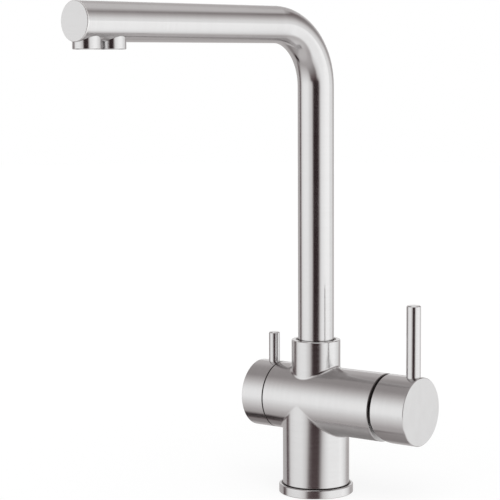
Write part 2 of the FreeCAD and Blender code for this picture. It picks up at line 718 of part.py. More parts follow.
def make_lever():
    """Stem, hub and rod that tilt together about the cross pin."""
    stem = new_part("cartridge_stem")
    ball = "(pivot_place - pivot_arm)"
    sphere(stem, "ball", "ball_radius", (ball, "0", "cross_height"))
    cylinder(stem, "neck", "stem_neck_radius", "pivot_arm", (ball, "0", "cross_height"), "x")
    box(stem, "shank", ("stem_end - pivot_place + stem_size / 2", "stem_size", "stem_size"),
        ("pivot_place - stem_size / 2", "-stem_size / 2", "cross_height - stem_size / 2"))
    cylinder(stem, "pin_hole", "pivot_pin_radius + close_fit", "stem_size * 2",
             ("pivot_place", "stem_size", "cross_height"), "-y", cut=True)

    hub = new_part("mixer_hub")
    solid = turned(hub, "hub_turned", "x", [
        (HUB_BACK, "hub_room_radius"),
        (HUB_BACK, "cross_radius"),
        (HUB_END, "cross_radius"),
        (HUB_END, "0"),
        ("%s + hub_room_depth" % HUB_BACK, "0"),
        ("%s + hub_room_depth" % HUB_BACK, "hub_room_radius"),
    ])
    hub_back = size["mixer_face"] + size["hub_gap"]
    rims = soften(hub, "end_rim", "rim_edge", solid,
                  ring_at_x(hub_back + size["hub_length"], size["cross_radius"]))
    soften(hub, "back_rim", "rim_edge / 2", rims, ring_at_x(hub_back, size["cross_radius"]))
    relief(hub)
    box(hub, "stem_socket",
        ("stem_end - pivot_place", "stem_size + 2 * close_fit", "stem_size + 2 * close_fit"),
        ("pivot_place", "-stem_size / 2 - close_fit", "cross_height - stem_size / 2 - close_fit"), cut=True)
    cylinder(hub, "rod_seat", "lever_radius + close_fit", "cross_radius",
             ("lever_place", "0", "cross_height + lever_seat_height"), cut=True)
    cylinder(hub, "grub_hole", "hub_grub_radius + close_fit", "lever_seat_height + CUT_PAST",
             ("lever_place", "0", "cross_height"), cut=True)

    rod = new_part("lever_rod")
    solid = cylinder(rod, "rod", "lever_radius", "lever_length",
                     ("lever_place", "0", "cross_height + lever_seat_height"))
    top = size["cross_height"] + size["lever_seat_height"] + size["lever_length"]
    soften(rod, "rod_top_edge", "rod_edge", solid, ring_at_z(top, size["lever_place"] + size["lever_radius"]))

    grub = new_part("hub_grub_screw")
    tip = "(cross_height + stem_size / 2 + close_fit)"
    head = "(cross_height + lever_seat_height - grub_gap)"
    cylinder(grub, "screw", "hub_grub_radius", "%s - %s" % (head, tip), ("lever_place", "0", tip))
    cylinder(grub, "key_socket", "hub_grub_radius / 2", "grub_key_depth + CUT_PAST",
             ("lever_place", "0", head + " - grub_key_depth"), cut=True)


def relief(hub):
    """Cut away the lower back corner of the hub, so that it clears the body as the lever tilts.

    In side view the cut leans in from the back face, then turns smoothly through an arc
    that runs out along the underside.
    """
    sketch = flat_sketch(hub, "relief_outline", "XZ_Plane")
    bind(sketch, "AttachmentOffset.Base.y", "cross_height")
    lean = "%s + relief_lean" % HUB_BACK
    bottom = "%s + relief_length" % HUB_BACK
    outside = "%s - CUT_PAST" % HUB_BACK
    below = "-cross_radius - CUT_PAST"
    places = [
        (HUB_BACK, "-relief_start"),
        (lean, "-relief_turn"),
        (bottom, "-cross_radius"),
        (bottom, below),
        (outside, below),
        (outside, "-relief_start"),
    ]
    back = size["mixer_face"] + size["hub_gap"]
    radius = size["cross_radius"]
    points = [
        Vector(back, -size["relief_start"], 0),
        Vector(back + size["relief_lean"], -size["relief_turn"], 0),
        Vector(back + size["relief_length"], -radius, 0),
        Vector(back + size["relief_length"], -radius - CUT_PAST, 0),
        Vector(back - CUT_PAST, -radius - CUT_PAST, 0),
        Vector(back - CUT_PAST, -size["relief_start"], 0),
    ]
    along = (points[1] - points[0]).normalize()
    inward = Vector(-along.y, along.x, 0)
    chord = points[2] - points[1]
    arc = chord.dot(chord) / (2 * chord.dot(inward))
    centre = points[1] + inward * arc
    first = math.atan2(points[1].y - centre.y, points[1].x - centre.x)
    last = math.atan2(points[2].y - centre.y, points[2].x - centre.x)
    sketch.addGeometry(Part.LineSegment(points[0], points[1]), False)
    sketch.addGeometry(Part.ArcOfCircle(Part.Circle(centre, Vector(0, 0, 1), arc), first, last), False)
    for i in range(2, 6):
        sketch.addGeometry(Part.LineSegment(points[i], points[(i + 1) % 6]), False)
    sketch.addConstraint(Sketcher.Constraint("Tangent", 0, 2, 1, 1))
    for i in range(1, 6):
        sketch.addConstraint(Sketcher.Constraint("Coincident", i, 2, (i + 1) % 6, 1))
    for i in (0, 2, 3, 4, 5):
        pin_point(sketch, i, 1, places[i][0], places[i][1], points[i])
    pin_point(sketch, 0, 2, places[1][0], places[1][1], points[1])
    cut = hub.newObject("PartDesign::Pocket", "relief")
    cut.Profile = sketch
    cut.Midplane = True
    cut.Type = "Length"
    bind(cut, "Length", "cross_radius * 3")


def make_filter_valve():
    """Quarter-turn ceramic valve for the filtered water."""
    start = VALVE_START
    waist = "(%s + valve_lip)" % start
    waist_end = "(%s + valve_waist_length)" % waist
    foot = "(%s + valve_disc_thick * 2 + water_film)" % VALVE_DISCS
    foot_end = "(%s + spindle_foot_thick)" % foot
    thread = "(valve_bore_radius - cartridge_play)"
    groove_floor = "valve_bore_radius - 2 * oring_section - close_fit"
    flange_groove = "(%s - flange_groove_place)" % VALVE_FLANGE

    seal = new_part("filter_seat_seal")
    turned(seal, "seal_turned", "x", [
        ("-valve_seat", "valve_disc_radius - valve_seal_lap"),
        ("-valve_seat", thread),
        ("-" + start, thread),
        ("-" + start, "valve_disc_radius - valve_seal_lap"),
    ])

    housing = new_part("filter_valve_body")
    turned(housing, "housing_turned", "x", [
        ("-" + start, "valve_disc_radius + close_fit"),
        ("-" + start, thread),
        ("-" + waist, thread),
        ("-" + waist, "valve_waist_radius"),
        ("-" + waist_end, "valve_waist_radius"),
        ("-" + waist_end, thread),
        ("-%s + %s" % (flange_groove, GROOVE_HALF), thread),
        ("-%s + %s" % (flange_groove, GROOVE_HALF), groove_floor),
        ("-%s - %s" % (flange_groove, GROOVE_HALF), groove_floor),
        ("-%s - %s" % (flange_groove, GROOVE_HALF), thread),
        ("-" + VALVE_FLANGE, thread),
        ("-" + VALVE_FLANGE, "valve_recess_radius - cartridge_play"),
        ("-%s - valve_flange_thick" % VALVE_FLANGE, "valve_recess_radius - cartridge_play"),
        ("-%s - valve_flange_thick" % VALVE_FLANGE, "valve_neck_radius"),
        ("-valve_end", "valve_neck_radius"),
        ("-valve_end", "spindle_radius + close_fit"),
        ("-%s - cartridge_play" % foot_end, "spindle_radius + close_fit"),
        ("-%s - cartridge_play" % foot_end, "valve_disc_radius + close_fit"),
    ])
    window = "-%s - valve_window_radius + valve_window_lap" % foot
    cylinder(housing, "upright_window", "valve_window_radius", "valve_bore_radius * 2",
             (window, "0", "cross_height - valve_bore_radius"), "z", cut=True)
    cylinder(housing, "level_window", "valve_window_radius", "valve_bore_radius * 2",
             (window, "-valve_bore_radius", "cross_height"), "y", cut=True)

    flange_ring = new_part("valve_body_oring")
    sealing_ring(flange_ring, "ring", "x", "valve_bore_radius - oring_section - close_fit / 2",
                 "-" + flange_groove)

    # Holes stand above one another in the fixed disc, and side by side in the moving one
    discs = {"filter_fixed_disc": "0", "filter_moving_disc": "(valve_disc_thick + water_film)"}
    for label, shift in discs.items():
        disc = new_part(label)
        outer = "-%s - %s - valve_disc_thick" % (VALVE_DISCS, shift)
        cylinder(disc, "disc", "valve_disc_radius", "valve_disc_thick", (outer, "0", "cross_height"), "x")
        for i, side in enumerate(("-valve_hole_place", "valve_hole_place")):
            if label == "filter_fixed_disc":
                centre = (outer + " - CUT_PAST", "0", "cross_height + " + side)
            else:
                centre = (outer + " - CUT_PAST", side, "cross_height")
            cylinder(disc, "hole_%d" % (i + 1), "valve_hole_radius", "valve_disc_thick + 2 * CUT_PAST",
                     centre, "x", cut=True)

    spindle = new_part("filter_spindle")
    first_groove = "(%s + spindle_groove_place)" % foot_end
    grooves = (first_groove, "(%s + spindle_groove_spacing)" % first_groove)
    groove_floor = "spindle_radius + close_fit - 2 * oring_section - close_fit"
    clip_face = "(valve_end + close_fit)"
    clip_end = "(%s + clip_thick + 2 * close_fit)" % clip_face
    foot_radius = "valve_disc_radius - 2 * cartridge_play"
    profile = [
        ("-" + foot, "0"),
        ("-" + foot, foot_radius),
        ("-" + foot_end, foot_radius),
        ("-" + foot_end, "spindle_radius"),
    ]
    for middle in grooves:
        profile += [
            ("-%s + %s" % (middle, GROOVE_HALF), "spindle_radius"),
            ("-%s + %s" % (middle, GROOVE_HALF), groove_floor),
            ("-%s - %s" % (middle, GROOVE_HALF), groove_floor),
            ("-%s - %s" % (middle, GROOVE_HALF), "spindle_radius"),
        ]
    profile += [
        ("-" + clip_face, "spindle_radius"),
        ("-" + clip_face, "spline_radius"),
        ("-" + clip_end, "spline_radius"),
        ("-" + clip_end, "spindle_radius"),
        ("-%s - clip_shoulder" % clip_end, "spindle_radius"),
        ("-%s - clip_shoulder" % clip_end, "spline_radius"),
        ("-spindle_end", "spline_radius"),
        ("-spindle_end", "0"),
    ]
    turned(spindle, "spindle_turned", "x", profile)
    box(spindle, "water_slot", ("spindle_foot_thick", "valve_disc_radius * 2", "valve_window_radius * 2"),
        ("-" + foot_end, "-valve_disc_radius", "cross_height - valve_window_radius"), cut=True)
    box(spindle, "grub_flat",
        ("2 * knob_grub_radius + 2 * grub_flat_margin", "2 * spline_radius", "spline_radius"),
        ("-filter_rod_place - knob_grub_radius - grub_flat_margin", "-spline_radius",
         "cross_height + spline_radius - grub_flat_depth"), cut=True)

    rings = new_part("spindle_orings")
    for i, middle in enumerate(grooves):
        sealing_ring(rings, "ring_%d" % (i + 1), "x", "spindle_radius + close_fit / 2 - oring_section",
                     "-" + middle)

    clip = new_part("spindle_clip")
    turned(clip, "clip_turned", "x", [
        ("-%s - close_fit" % clip_face, "spline_radius + close_fit"),
        ("-%s - close_fit" % clip_face, "spindle_radius + clip_width"),
        ("-%s - close_fit - clip_thick" % clip_face, "spindle_radius + clip_width"),
        ("-%s - close_fit - clip_thick" % clip_face, "spline_radius + close_fit"),
    ])
    box(clip, "mouth", ("clip_thick + 2 * CUT_PAST", "clip_mouth_width", "spindle_radius * 2"),
        ("-%s - CUT_PAST" % clip_end, "-clip_mouth_width / 2", "cross_height - spindle_radius * 2"), cut=True)


def make_filter_knob():
    """Disc-shaped knob and its rod, clamped on the spindle by a grub screw under the rod."""
    knob = new_part("filter_knob")
    room = "valve_neck_radius + knob_room_gap"
    room_floor = "(%s + knob_room_depth)" % KNOB_FACE
    solid = turned(knob, "knob_turned", "x", [
        ("-" + KNOB_FACE, room),
        ("-" + KNOB_FACE, "cross_radius"),
        ("-" + KNOB_END, "cross_radius"),
        ("-" + KNOB_END, "0"),
        ("-spindle_end - spindle_end_gap", "0"),
        ("-spindle_end - spindle_end_gap", "spline_radius + close_fit"),
        ("-" + room_floor, "spline_radius + close_fit"),
        ("-" + room_floor, room),
    ])
    face = size["filter_face"] + size["knob_gap"]
    rims = soften(knob, "end_rim", "rim_edge", solid,
                  ring_at_x(-face - size["knob_length"], size["cross_radius"]))
    soften(knob, "back_rim", "rim_edge / 2", rims, ring_at_x(-face, size["cross_radius"]))
    cylinder(knob, "rod_seat", "filter_rod_radius + close_fit", "cross_radius",
             ("-filter_rod_place", "0", "cross_height + filter_rod_seat"), cut=True)
    cylinder(knob, "grub_hole", "knob_grub_radius + close_fit", "filter_rod_seat + CUT_PAST",
             ("-filter_rod_place", "0", "cross_height"), cut=True)

    rod = new_part("filter_rod")
    solid = cylinder(rod, "rod", "filter_rod_radius", "filter_rod_length",
                     ("-filter_rod_place", "0", "cross_height + filter_rod_seat"))
    top = size["cross_height"] + size["filter_rod_seat"] + size["filter_rod_length"]
    soften(rod, "rod_top_edge", "rod_edge", solid,
           ring_at_z(top, size["filter_rod_radius"] - size["filter_rod_place"]))

    grub = new_part("knob_grub_screw")
    tip = "(cross_height + spline_radius - grub_flat_depth)"
    head = "(cross_height + filter_rod_seat - grub_gap)"
    cylinder(grub, "screw", "knob_grub_radius", "%s - %s" % (head, tip), ("-filter_rod_place", "0", tip))
    cylinder(grub, "key_socket", "knob_grub_radius / 2", "grub_key_depth + CUT_PAST",
             ("-filter_rod_place", "0", head + " - grub_key_depth"), cut=True)


def make_swivel():
    """The spout's swivel joint: nipple, glide ring, sealed spigot and the screw that keeps it in."""
    nipple = new_part("filter_nipple")
    ring_height = "(%s + nipple_groove_rise)" % MIXING_FLOOR
    hub_bore = "(nipple_radius + nipple_gap)"
    groove_floor = "(%s - 2 * oring_section - close_fit)" % hub_bore
    turned(nipple, "nipple_turned", "z", [
        ("nipple_bore_radius", MIXING_FLOOR + " - nipple_thread_length"),
        ("nipple_thread_radius", MIXING_FLOOR + " - nipple_thread_length"),
        ("nipple_thread_radius", MIXING_FLOOR),
        ("nipple_radius", MIXING_FLOOR),
        ("nipple_radius", "%s - %s" % (ring_height, GROOVE_HALF)),
        (groove_floor, "%s - %s" % (ring_height, GROOVE_HALF)),
        (groove_floor, "%s + %s" % (ring_height, GROOVE_HALF)),
        ("nipple_radius", "%s + %s" % (ring_height, GROOVE_HALF)),
        ("nipple_radius", NIPPLE_TOP),
        ("nipple_bore_radius", NIPPLE_TOP),
    ])
    ring = new_part("nipple_oring")
    sealing_ring(ring, "ring", "z", "%s - oring_section - close_fit / 2" % hub_bore, ring_height)

    glide = new_part("spout_glide_ring")
    turned(glide, "glide_turned", "z", [
        ("mixing_room_radius + cartridge_play", NECK_LEDGE),
        ("tube_radius + swivel_gap - cartridge_play", NECK_LEDGE),
        ("tube_radius + swivel_gap - cartridge_play", NECK_LEDGE + " + glide_thick"),
        ("mixing_room_radius + cartridge_play", NECK_LEDGE + " + glide_thick"),
    ])

    spigot = new_part("spout_spigot")
    foot = "(mixing_room_radius - swivel_gap)"
    seal_floor = "(mixing_room_radius - 2 * oring_section - close_fit)"
    first_seal = "(%s + seal_groove_rise)" % SPIGOT_FOOT
    heights = (first_seal, "(%s + seal_groove_spacing)" % first_seal)
    half = "(groove_width / 2)"
    profile = [("spigot_bore_radius", SPIGOT_FOOT), (foot, SPIGOT_FOOT)]
    for height in heights:
        profile += [
            (foot, "%s - %s" % (height, GROOVE_HALF)),
            (seal_floor, "%s - %s" % (height, GROOVE_HALF)),
            (seal_floor, "%s + %s" % (height, GROOVE_HALF)),
            (foot, "%s + %s" % (height, GROOVE_HALF)),
        ]
    profile += [
        (foot, NECK_LEDGE + " + glide_thick"),
        ("tube_radius", NECK_LEDGE + " + glide_thick"),
        ("tube_radius", "%s - %s" % (GROOVE_HEIGHT, half)),
        ("tube_radius - groove_depth", "%s - %s" % (GROOVE_HEIGHT, half)),
        ("tube_radius - groove_depth", "%s + %s" % (GROOVE_HEIGHT, half)),
        ("tube_radius", "%s + %s" % (GROOVE_HEIGHT, half)),
        ("tube_radius", TUBE_FOOT),
        ("tube_radius - tube_wall - close_fit", TUBE_FOOT),
        ("tube_radius - tube_wall - close_fit", SPIGOT_END),
        ("tube_radius - tube_wall - spigot_wall", SPIGOT_END),
        ("tube_radius - tube_wall - spigot_wall", SPIGOT_HUB_TOP),
        ("spigot_bore_radius", SPIGOT_HUB_TOP),
    ]
    turned(spigot, "spigot_turned", "z", profile)
    hub_length = "(%s - %s)" % (SPIGOT_HUB_TOP, SPIGOT_FOOT)
    cylinder(spigot, "hub", "spigot_hub_radius", hub_length, ("0", "0", SPIGOT_FOOT))
    cylinder(spigot, "tail", "inner_tube_radius - inner_tube_wall - close_fit", "tail_length",
             ("0", "0", SPIGOT_HUB_TOP))
    reach = "(2 * spigot_bore_radius + CUT_PAST)"
    for name, across, deep in (("side_web", reach, "web_thick"), ("front_web", "web_thick", reach)):
        box(spigot, name, (across, deep, hub_length + " - web_rise"),
            ("-%s / 2" % across, "-%s / 2" % deep, SPIGOT_FOOT + " + web_rise"))
    cylinder(spigot, "nipple_bore", hub_bore, "nipple_length - spigot_floor_gap + nipple_end_gap + CUT_PAST",
             ("0", "0", SPIGOT_FOOT + " - CUT_PAST"), cut=True)
    cylinder(spigot, "tail_bore", "nipple_bore_radius", hub_length + " + tail_length + CUT_PAST",
             ("0", "0", SPIGOT_FOOT), cut=True)
    on_spout(spigot)

    seals = new_part("spigot_orings")
    for i, height in enumerate(heights):
        sealing_ring(seals, "ring_%d" % (i + 1), "z", "mixing_room_radius - oring_section - close_fit / 2",
                     height)

    retainer = new_part("spout_retaining_screw")
    shoulder = "(tube_radius + swivel_gap + retainer_step)"
    outer = "(neck_radius - retainer_inset)"
    point = "(tube_radius - groove_depth + swivel_gap)"
    cylinder(retainer, "dog_point", "groove_width / 2 - retainer_play", "%s - %s" % (shoulder, point),
             ("0", point, GROOVE_HEIGHT), "y")
    cylinder(retainer, "screw", "retainer_radius", "%s - %s" % (outer, shoulder),
             ("0", shoulder, GROOVE_HEIGHT), "y")
    cylinder(retainer, "key_socket", "retainer_radius / 2", "grub_key_depth + CUT_PAST",
             ("0", "%s - grub_key_depth" % outer, GROOVE_HEIGHT), "y", cut=True)


def bent_tube(body, name, outer, inner, foot, end):
    """A tube that rises from its foot, bends once and runs forward level to its end."""
    profile = flat_sketch(body, name + "_section", "XY_Plane")
    bind(profile, "AttachmentOffset.Base.z", foot)
    guess = size["tube_radius"]
    for i, (radius, start) in enumerate(((outer, guess), (inner, guess / 2))):
        profile.addGeometry(Part.Circle(Vector(), Vector(0, 0, 1), start), False)
        profile.addConstraint(Sketcher.Constraint("Coincident", i, 3, -1, 1))
        held = profile.addConstraint(Sketcher.Constraint("Radius", i, start))
        profile.setExpression("Constraints[%d]" % held, from_sheet(radius))

    path = flat_sketch(body, name + "_path", "YZ_Plane")
    bend = size["bend_radius"]
    high = size["spout_height"]
    low = Vector(0, size["cross_height"], 0)
    turn_in = Vector(0, high - bend, 0)
    turn_out = Vector(-bend, high, 0)
    far = Vector(-size["spout_reach"], high, 0)
    centre = Vector(-bend, high - bend, 0)
    path.addGeometry(Part.LineSegment(low, turn_in), False)
    path.addGeometry(Part.ArcOfCircle(Part.Circle(centre, Vector(0, 0, 1), bend), 0, math.pi / 2), False)
    path.addGeometry(Part.LineSegment(turn_out, far), False)
    path.addConstraint(Sketcher.Constraint("Tangent", 0, 2, 1, 1))
    path.addConstraint(Sketcher.Constraint("Coincident", 1, 2, 2, 1))
    pin_point(path, 0, 1, "0", foot, low)
    pin_point(path, 0, 2, "0", "spout_height - bend_radius", turn_in)
    pin_point(path, 2, 1, "-bend_radius", "spout_height", turn_out)
    pin_point(path, 2, 2, "-" + end, "spout_height", far)
    doc.recompute()
    feature = body.newObject("PartDesign::AdditivePipe", name)
    feature.Profile = profile
    feature.Spine = (path, ["Edge1", "Edge2", "Edge3"])
    return feature


def make_spout():
    """Spout tube with its end cap, and the thin tube inside that keeps filtered water apart."""
    tube = new_part("spout_tube")
    bent_tube(tube, "tube", "tube_radius", "tube_radius - tube_wall", TUBE_FOOT,
              "(spout_reach - end_cap_thick)")
    for name, place in (("front_hole", FRONT_OUTLET), ("rear_hole", REAR_OUTLET)):
        cylinder(tube, name, "outlet_neck_radius + close_fit", "tube_radius",
                 ("0", "-" + place, "spout_height - tube_radius - CUT_PAST"), cut=True)
    on_spout(tube)

    cap = new_part("spout_end_cap")
    solid = turned(cap, "cap_turned", "y", [
        ("-spout_reach", "0"),
        ("-spout_reach", "tube_radius"),
        ("-spout_reach + end_cap_thick", "tube_radius"),
        ("-spout_reach + end_cap_thick", "tube_radius - tube_wall - close_fit"),
        ("-spout_reach + end_cap_plug", "tube_radius - tube_wall - close_fit"),
        ("-spout_reach + end_cap_plug", "0"),
    ])
    soften(cap, "cap_edge", "end_cap_edge", solid,
           lambda edge, span: near(span.YMin, -size["spout_reach"]) and near(span.YMax, -size["spout_reach"]))
    box(cap, "outlet_clearance", ("tube_radius * 2", "end_cap_plug", "tube_radius"),
        ("-tube_radius", "-spout_reach + end_cap_thick", OUTLET_NECK_TOP + " + cap_plug_gap - tube_radius"),
        cut=True)
    on_spout(cap)

    inner = new_part("filter_inner_tube")
    bent_tube(inner, "tube", "inner_tube_radius", "inner_tube_radius - inner_tube_wall",
              "(%s + inner_tube_gap)" % SPIGOT_HUB_TOP, INNER_TUBE_END)
    on_spout(inner)

    elbow = new_part("filter_tube_elbow")
    tail = "(inner_tube_radius - inner_tube_wall - close_fit)"
    start = "-" + INNER_TUBE_END
    outlet = "-" + REAR_OUTLET
    cylinder(elbow, "body", "elbow_radius", "elbow_length + elbow_radius", ("0", start, "spout_height"), "-y")
    cylinder(elbow, "tail", tail, "elbow_tail", ("0", start, "spout_height"), "y")
    cylinder(elbow, "drop", "elbow_radius", "tube_radius - outlet_neck_rise", ("0", outlet, OUTLET_NECK_TOP))
    cylinder(elbow, "foot", "outlet_neck_radius - outlet_neck_wall - close_fit",
             "%s + CUT_PAST - %s - washer_thick" % (OUTLET_NECK_TOP, AERATOR_TOP),
             ("0", outlet, "%s + washer_thick" % AERATOR_TOP))
    cylinder(elbow, "way_along", "nipple_bore_radius", "elbow_length + elbow_tail + CUT_PAST",
             ("0", start + " + elbow_tail + CUT_PAST", "spout_height"), "-y", cut=True)
    cylinder(elbow, "way_down", "nipple_bore_radius", "spout_height - %s" % OUTLET_FOOT,
             ("0", outlet, OUTLET_FOOT), cut=True)
    on_spout(elbow)


def make_outlet(label, place, insert_label, washer_label, rings):
    """One outlet: sleeve saddled on the spout tube, with its insert and washer."""
    sleeve = new_part(label)
    ledge = "(%s + washer_thick)" % AERATOR_TOP
    solid = turned(sleeve, "sleeve_turned", "z", [
        ("aerator_radius + close_fit", OUTLET_FOOT),
        ("outlet_radius", OUTLET_FOOT),
        ("outlet_radius", "spout_height - tube_radius / 2"),
        ("aerator_radius + close_fit", "spout_height - tube_radius / 2"),
    ], back=place)
    foot = size["spout_height"] - size["tube_radius"] - size["outlet_drop"]
    soften(sleeve, "foot_edge", "outlet_edge", solid, ring_at_z(foot, size["outlet_radius"]))
    cylinder(sleeve, "saddle", "tube_radius + close_fit", "outlet_radius * 4",
             ("0", "-%s + outlet_radius * 2" % place, "spout_height"), "-y", cut=True)
    neck = "(outlet_neck_radius - outlet_neck_wall)"
    turned(sleeve, "neck_turned", "z", [
        ("aerator_radius + close_fit", OUTLET_FOOT + " + outlet_lip"),
        ("outlet_neck_radius", OUTLET_FOOT + " + outlet_lip"),
        ("outlet_neck_radius", OUTLET_NECK_TOP),
        (neck, OUTLET_NECK_TOP),
        (neck, ledge),
        ("aerator_radius + close_fit", ledge),
    ], back=place)
    on_spout(sleeve)

    insert = new_part(insert_label)
    cylinder(insert, "disc", "aerator_radius", "aerator_thick",
             ("0", "-" + place, OUTLET_FOOT + " + aerator_inset"))
    through = "aerator_thick + 2 * CUT_PAST"
    cylinder(insert, "middle_hole", "aerator_hole_radius", through, ("0", "-" + place, OUTLET_FOOT), cut=True)
    for ring, (count, radius) in enumerate(rings):
        for i in range(count):
            turn = 360.0 * i / count
            across = "%s * cos(%.3f)" % (radius, turn)
            along = "-%s + %s * sin(%.3f)" % (place, radius, turn)
            cylinder(insert, "hole_%d_%d" % (ring + 1, i + 1), "aerator_hole_radius", through,
                     (across, along, OUTLET_FOOT), cut=True)
    on_spout(insert)

    washer = new_part(washer_label)
    turned(washer, "washer_turned", "z", [
        ("washer_bore_radius", AERATOR_TOP),
        ("aerator_radius", AERATOR_TOP),
        ("aerator_radius", AERATOR_TOP + " + washer_thick"),
        ("washer_bore_radius", AERATOR_TOP + " + washer_thick"),
    ], back=place)
    on_spout(washer)


make_base()
make_casting()
make_cartridge()
make_rotor()
make_lever()
make_filter_valve()
make_filter_knob()
make_swivel()
make_spout()
make_outlet("mixed_outlet_nozzle", FRONT_OUTLET, "mixed_aerator", "mixed_aerator_washer",
            ((INNER_HOLES, "aerator_inner_circle"), (OUTER_HOLES, "aerator_outer_circle")))
make_outlet("filter_outlet_nozzle", REAR_OUTLET, "filter_flow_former", "filter_former_washer",
            ((INNER_HOLES, "former_circle"),))

doc.recompute()
os.makedirs("parts", exist_ok=True)
for thing in doc.Objects:
    if "Invalid" in thing.State or "Error" in thing.State:
        raise SystemExit("%s is %s" % (thing.Label, thing.State))
for body in parts:
    if body.Shape.isNull() or not body.Shape.isValid() or body.Shape.Volume < LEAST_VOLUME:
        raise SystemExit("%s has no valid shape" % body.Label)
    body.Shape.exportStep("parts/%s.step" % body.Label)
print(len(parts), "parts written")
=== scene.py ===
import math

import bmesh
import bpy
from mathutils import Matrix, Vector

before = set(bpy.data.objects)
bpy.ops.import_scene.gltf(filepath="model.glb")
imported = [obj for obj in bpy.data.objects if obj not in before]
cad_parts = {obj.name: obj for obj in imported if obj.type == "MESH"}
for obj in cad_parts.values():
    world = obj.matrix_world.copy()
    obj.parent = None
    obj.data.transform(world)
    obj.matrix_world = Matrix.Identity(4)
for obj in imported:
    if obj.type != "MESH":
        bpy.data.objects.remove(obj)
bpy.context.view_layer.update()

# Sizes of the tap that the finishes follow, in metres and degrees
CROSS_HEIGHT = 0.0635
CROSS_RADIUS = 0.0225
SPOUT_HEIGHT = 0.3135
SPOUT_BEND = 0.040
SPOUT_TURN = 6.8
TUBE_RADIUS = 0.012
TRUNK_RADIUS = 0.0224
RING_TOP = 0.006
NECK_TOP = 0.104
MIXER_FACE = 0.0558
FILTER_FACE = 0.0284
KNOB_GAP = 0.0006

# The photograph's camera, in metres, degrees and millimetres of lens
CAMERA_PLACE = (0.6875315, -0.9807484, 0.2891849)
CAMERA_AZIMUTH = 37.1405
CAMERA_ELEVATION = 5.9518
CAMERA_ROLL = -0.2705
CAMERA_LENS = 129.508
CAMERA_SENSOR = 36.0
NEAREST_SEEN = 0.05
FARTHEST_SEEN = 50.0

QUARTER_TURN = 90.0
WHITE = (1.0, 1.0, 1.0, 1.0)

# The Mix node's sockets are known by their order, because its numbers and colours share their names
SHARE_IN = 0
FIRST_NUMBER_IN = 2
SECOND_NUMBER_IN = 3
NUMBER_OUT = 0
FIRST_COLOUR_IN = 6
SECOND_COLOUR_IN = 7
COLOUR_OUT = 2


# Nodes
def add(tree, kind, settings=None, inputs=None):
    """One node, with its settings, and with a value or another node's socket at each of its inputs."""
    made = tree.nodes.new(kind)
    for name, value in (settings or {}).items():
        setattr(made, name, value)
    for name, value in (inputs or {}).items():
        if isinstance(value, bpy.types.NodeSocket):
            tree.links.new(value, made.inputs[name])
        else:
            made.inputs[name].default_value = value
    return made


def reckon(tree, operation, *values):
    """The result of a Math node on numbers or sockets."""
    inputs = dict(enumerate(values))
    return add(tree, "ShaderNodeMath", {"operation": operation}, inputs).outputs[0]


def reckon_all(tree, operation, values):
    """The result of the same operation on one value after another."""
    result = values[0]
    for value in values[1:]:
        result = reckon(tree, operation, result, value)
    return result


def total(tree, *values):
    return reckon_all(tree, "ADD", values)


def product(tree, *values):
    return reckon_all(tree, "MULTIPLY", values)


def largest(tree, *values):
    return reckon_all(tree, "MAXIMUM", values)


def between(tree, value, edge, low=0.0, high=1.0, kind="SMOOTHSTEP"):
    """A step from low to high as the value goes from the first number of the edge to the second."""
    start, end = edge
    made = add(tree, "ShaderNodeMapRange", {"interpolation_type": kind, "clamp": True},
               {"Value": value, "From Min": start, "From Max": end, "To Min": low, "To Max": high})
    return made.outputs["Result"]


def blend_number(tree, share, first, second):
    made = add(tree, "ShaderNodeMix", {"data_type": "FLOAT"},
               {SHARE_IN: share, FIRST_NUMBER_IN: first, SECOND_NUMBER_IN: second})
    return made.outputs[NUMBER_OUT]


def blend_colour(tree, share, first, second):
    made = add(tree, "ShaderNodeMix", {"data_type": "RGBA", "clamp_factor": True},
               {SHARE_IN: share, FIRST_COLOUR_IN: first, SECOND_COLOUR_IN: second})
    return made.outputs[COLOUR_OUT]


def blend_shader(tree, share, first, second):
    return add(tree, "ShaderNodeMixShader", inputs={0: share, 1: first, 2: second}).outputs[0]


def split(tree, place):
    """The three numbers of a place."""
    parts = add(tree, "ShaderNodeSeparateXYZ", inputs={"Vector": place}).outputs
    return parts["X"], parts["Y"], parts["Z"]


def turned_by(tree, place, degrees):
    """The same place, turned about the upright axis."""
    made = add(tree, "ShaderNodeMapping", {"vector_type": "POINT"},
               {"Vector": place, "Rotation": (0.0, 0.0, math.radians(degrees))})
    return made.outputs["Vector"]


# Levels of the studio's light, where one is white
LEFT_WALL = 0.95
LEFT_WALL_PEAK = 0.10
RIGHT_WALL = 1.07
RIGHT_WALL_PEAK = 0.12
BACK_WALL = 0.53
BACK_STRIP = 0.86
SEAM = 0.14
CEILING = 0.34
RIGHT_CEILING = 0.06
BACK_CEILING = 0.25
OVERHEAD = 0.85
DARK_FRONT = 0.030
WORKTOP = 0.45
NEAR_WORKTOP = 0.14
LIT_WORKTOP = 0.12
FILL_LEVEL = 0.88

# The steps of the studio's light are pairs of degrees, from which and to which it changes. A turn counts from
# the camera, with its left below zero. A rise counts from level, and a fall is a rise below level. A share is
# the part of a level that a step leaves or adds.

# Below level, both walls' ends towards the front shift to the left
LEAN_RISE = (-14.0, -7.0)
LEAN = 11.0

# The left wall
LEFT_SEAM_TURN = (-117.0, -97.0)
LEFT_PEAK_TURN = (-100.0, -76.0)
LEFT_DIMMER_TURN = (-58.0, -32.0)
LEFT_DIMMER_SHARE = 0.76
LEFT_END_TURN = (-30.0, -13.0)
LEFT_RISE = (5.0, 62.0)
LEFT_HIGH_SHARE = 0.30
LEFT_FALL = (-56.0, -6.0)
LEFT_LOW_SHARE = 0.345

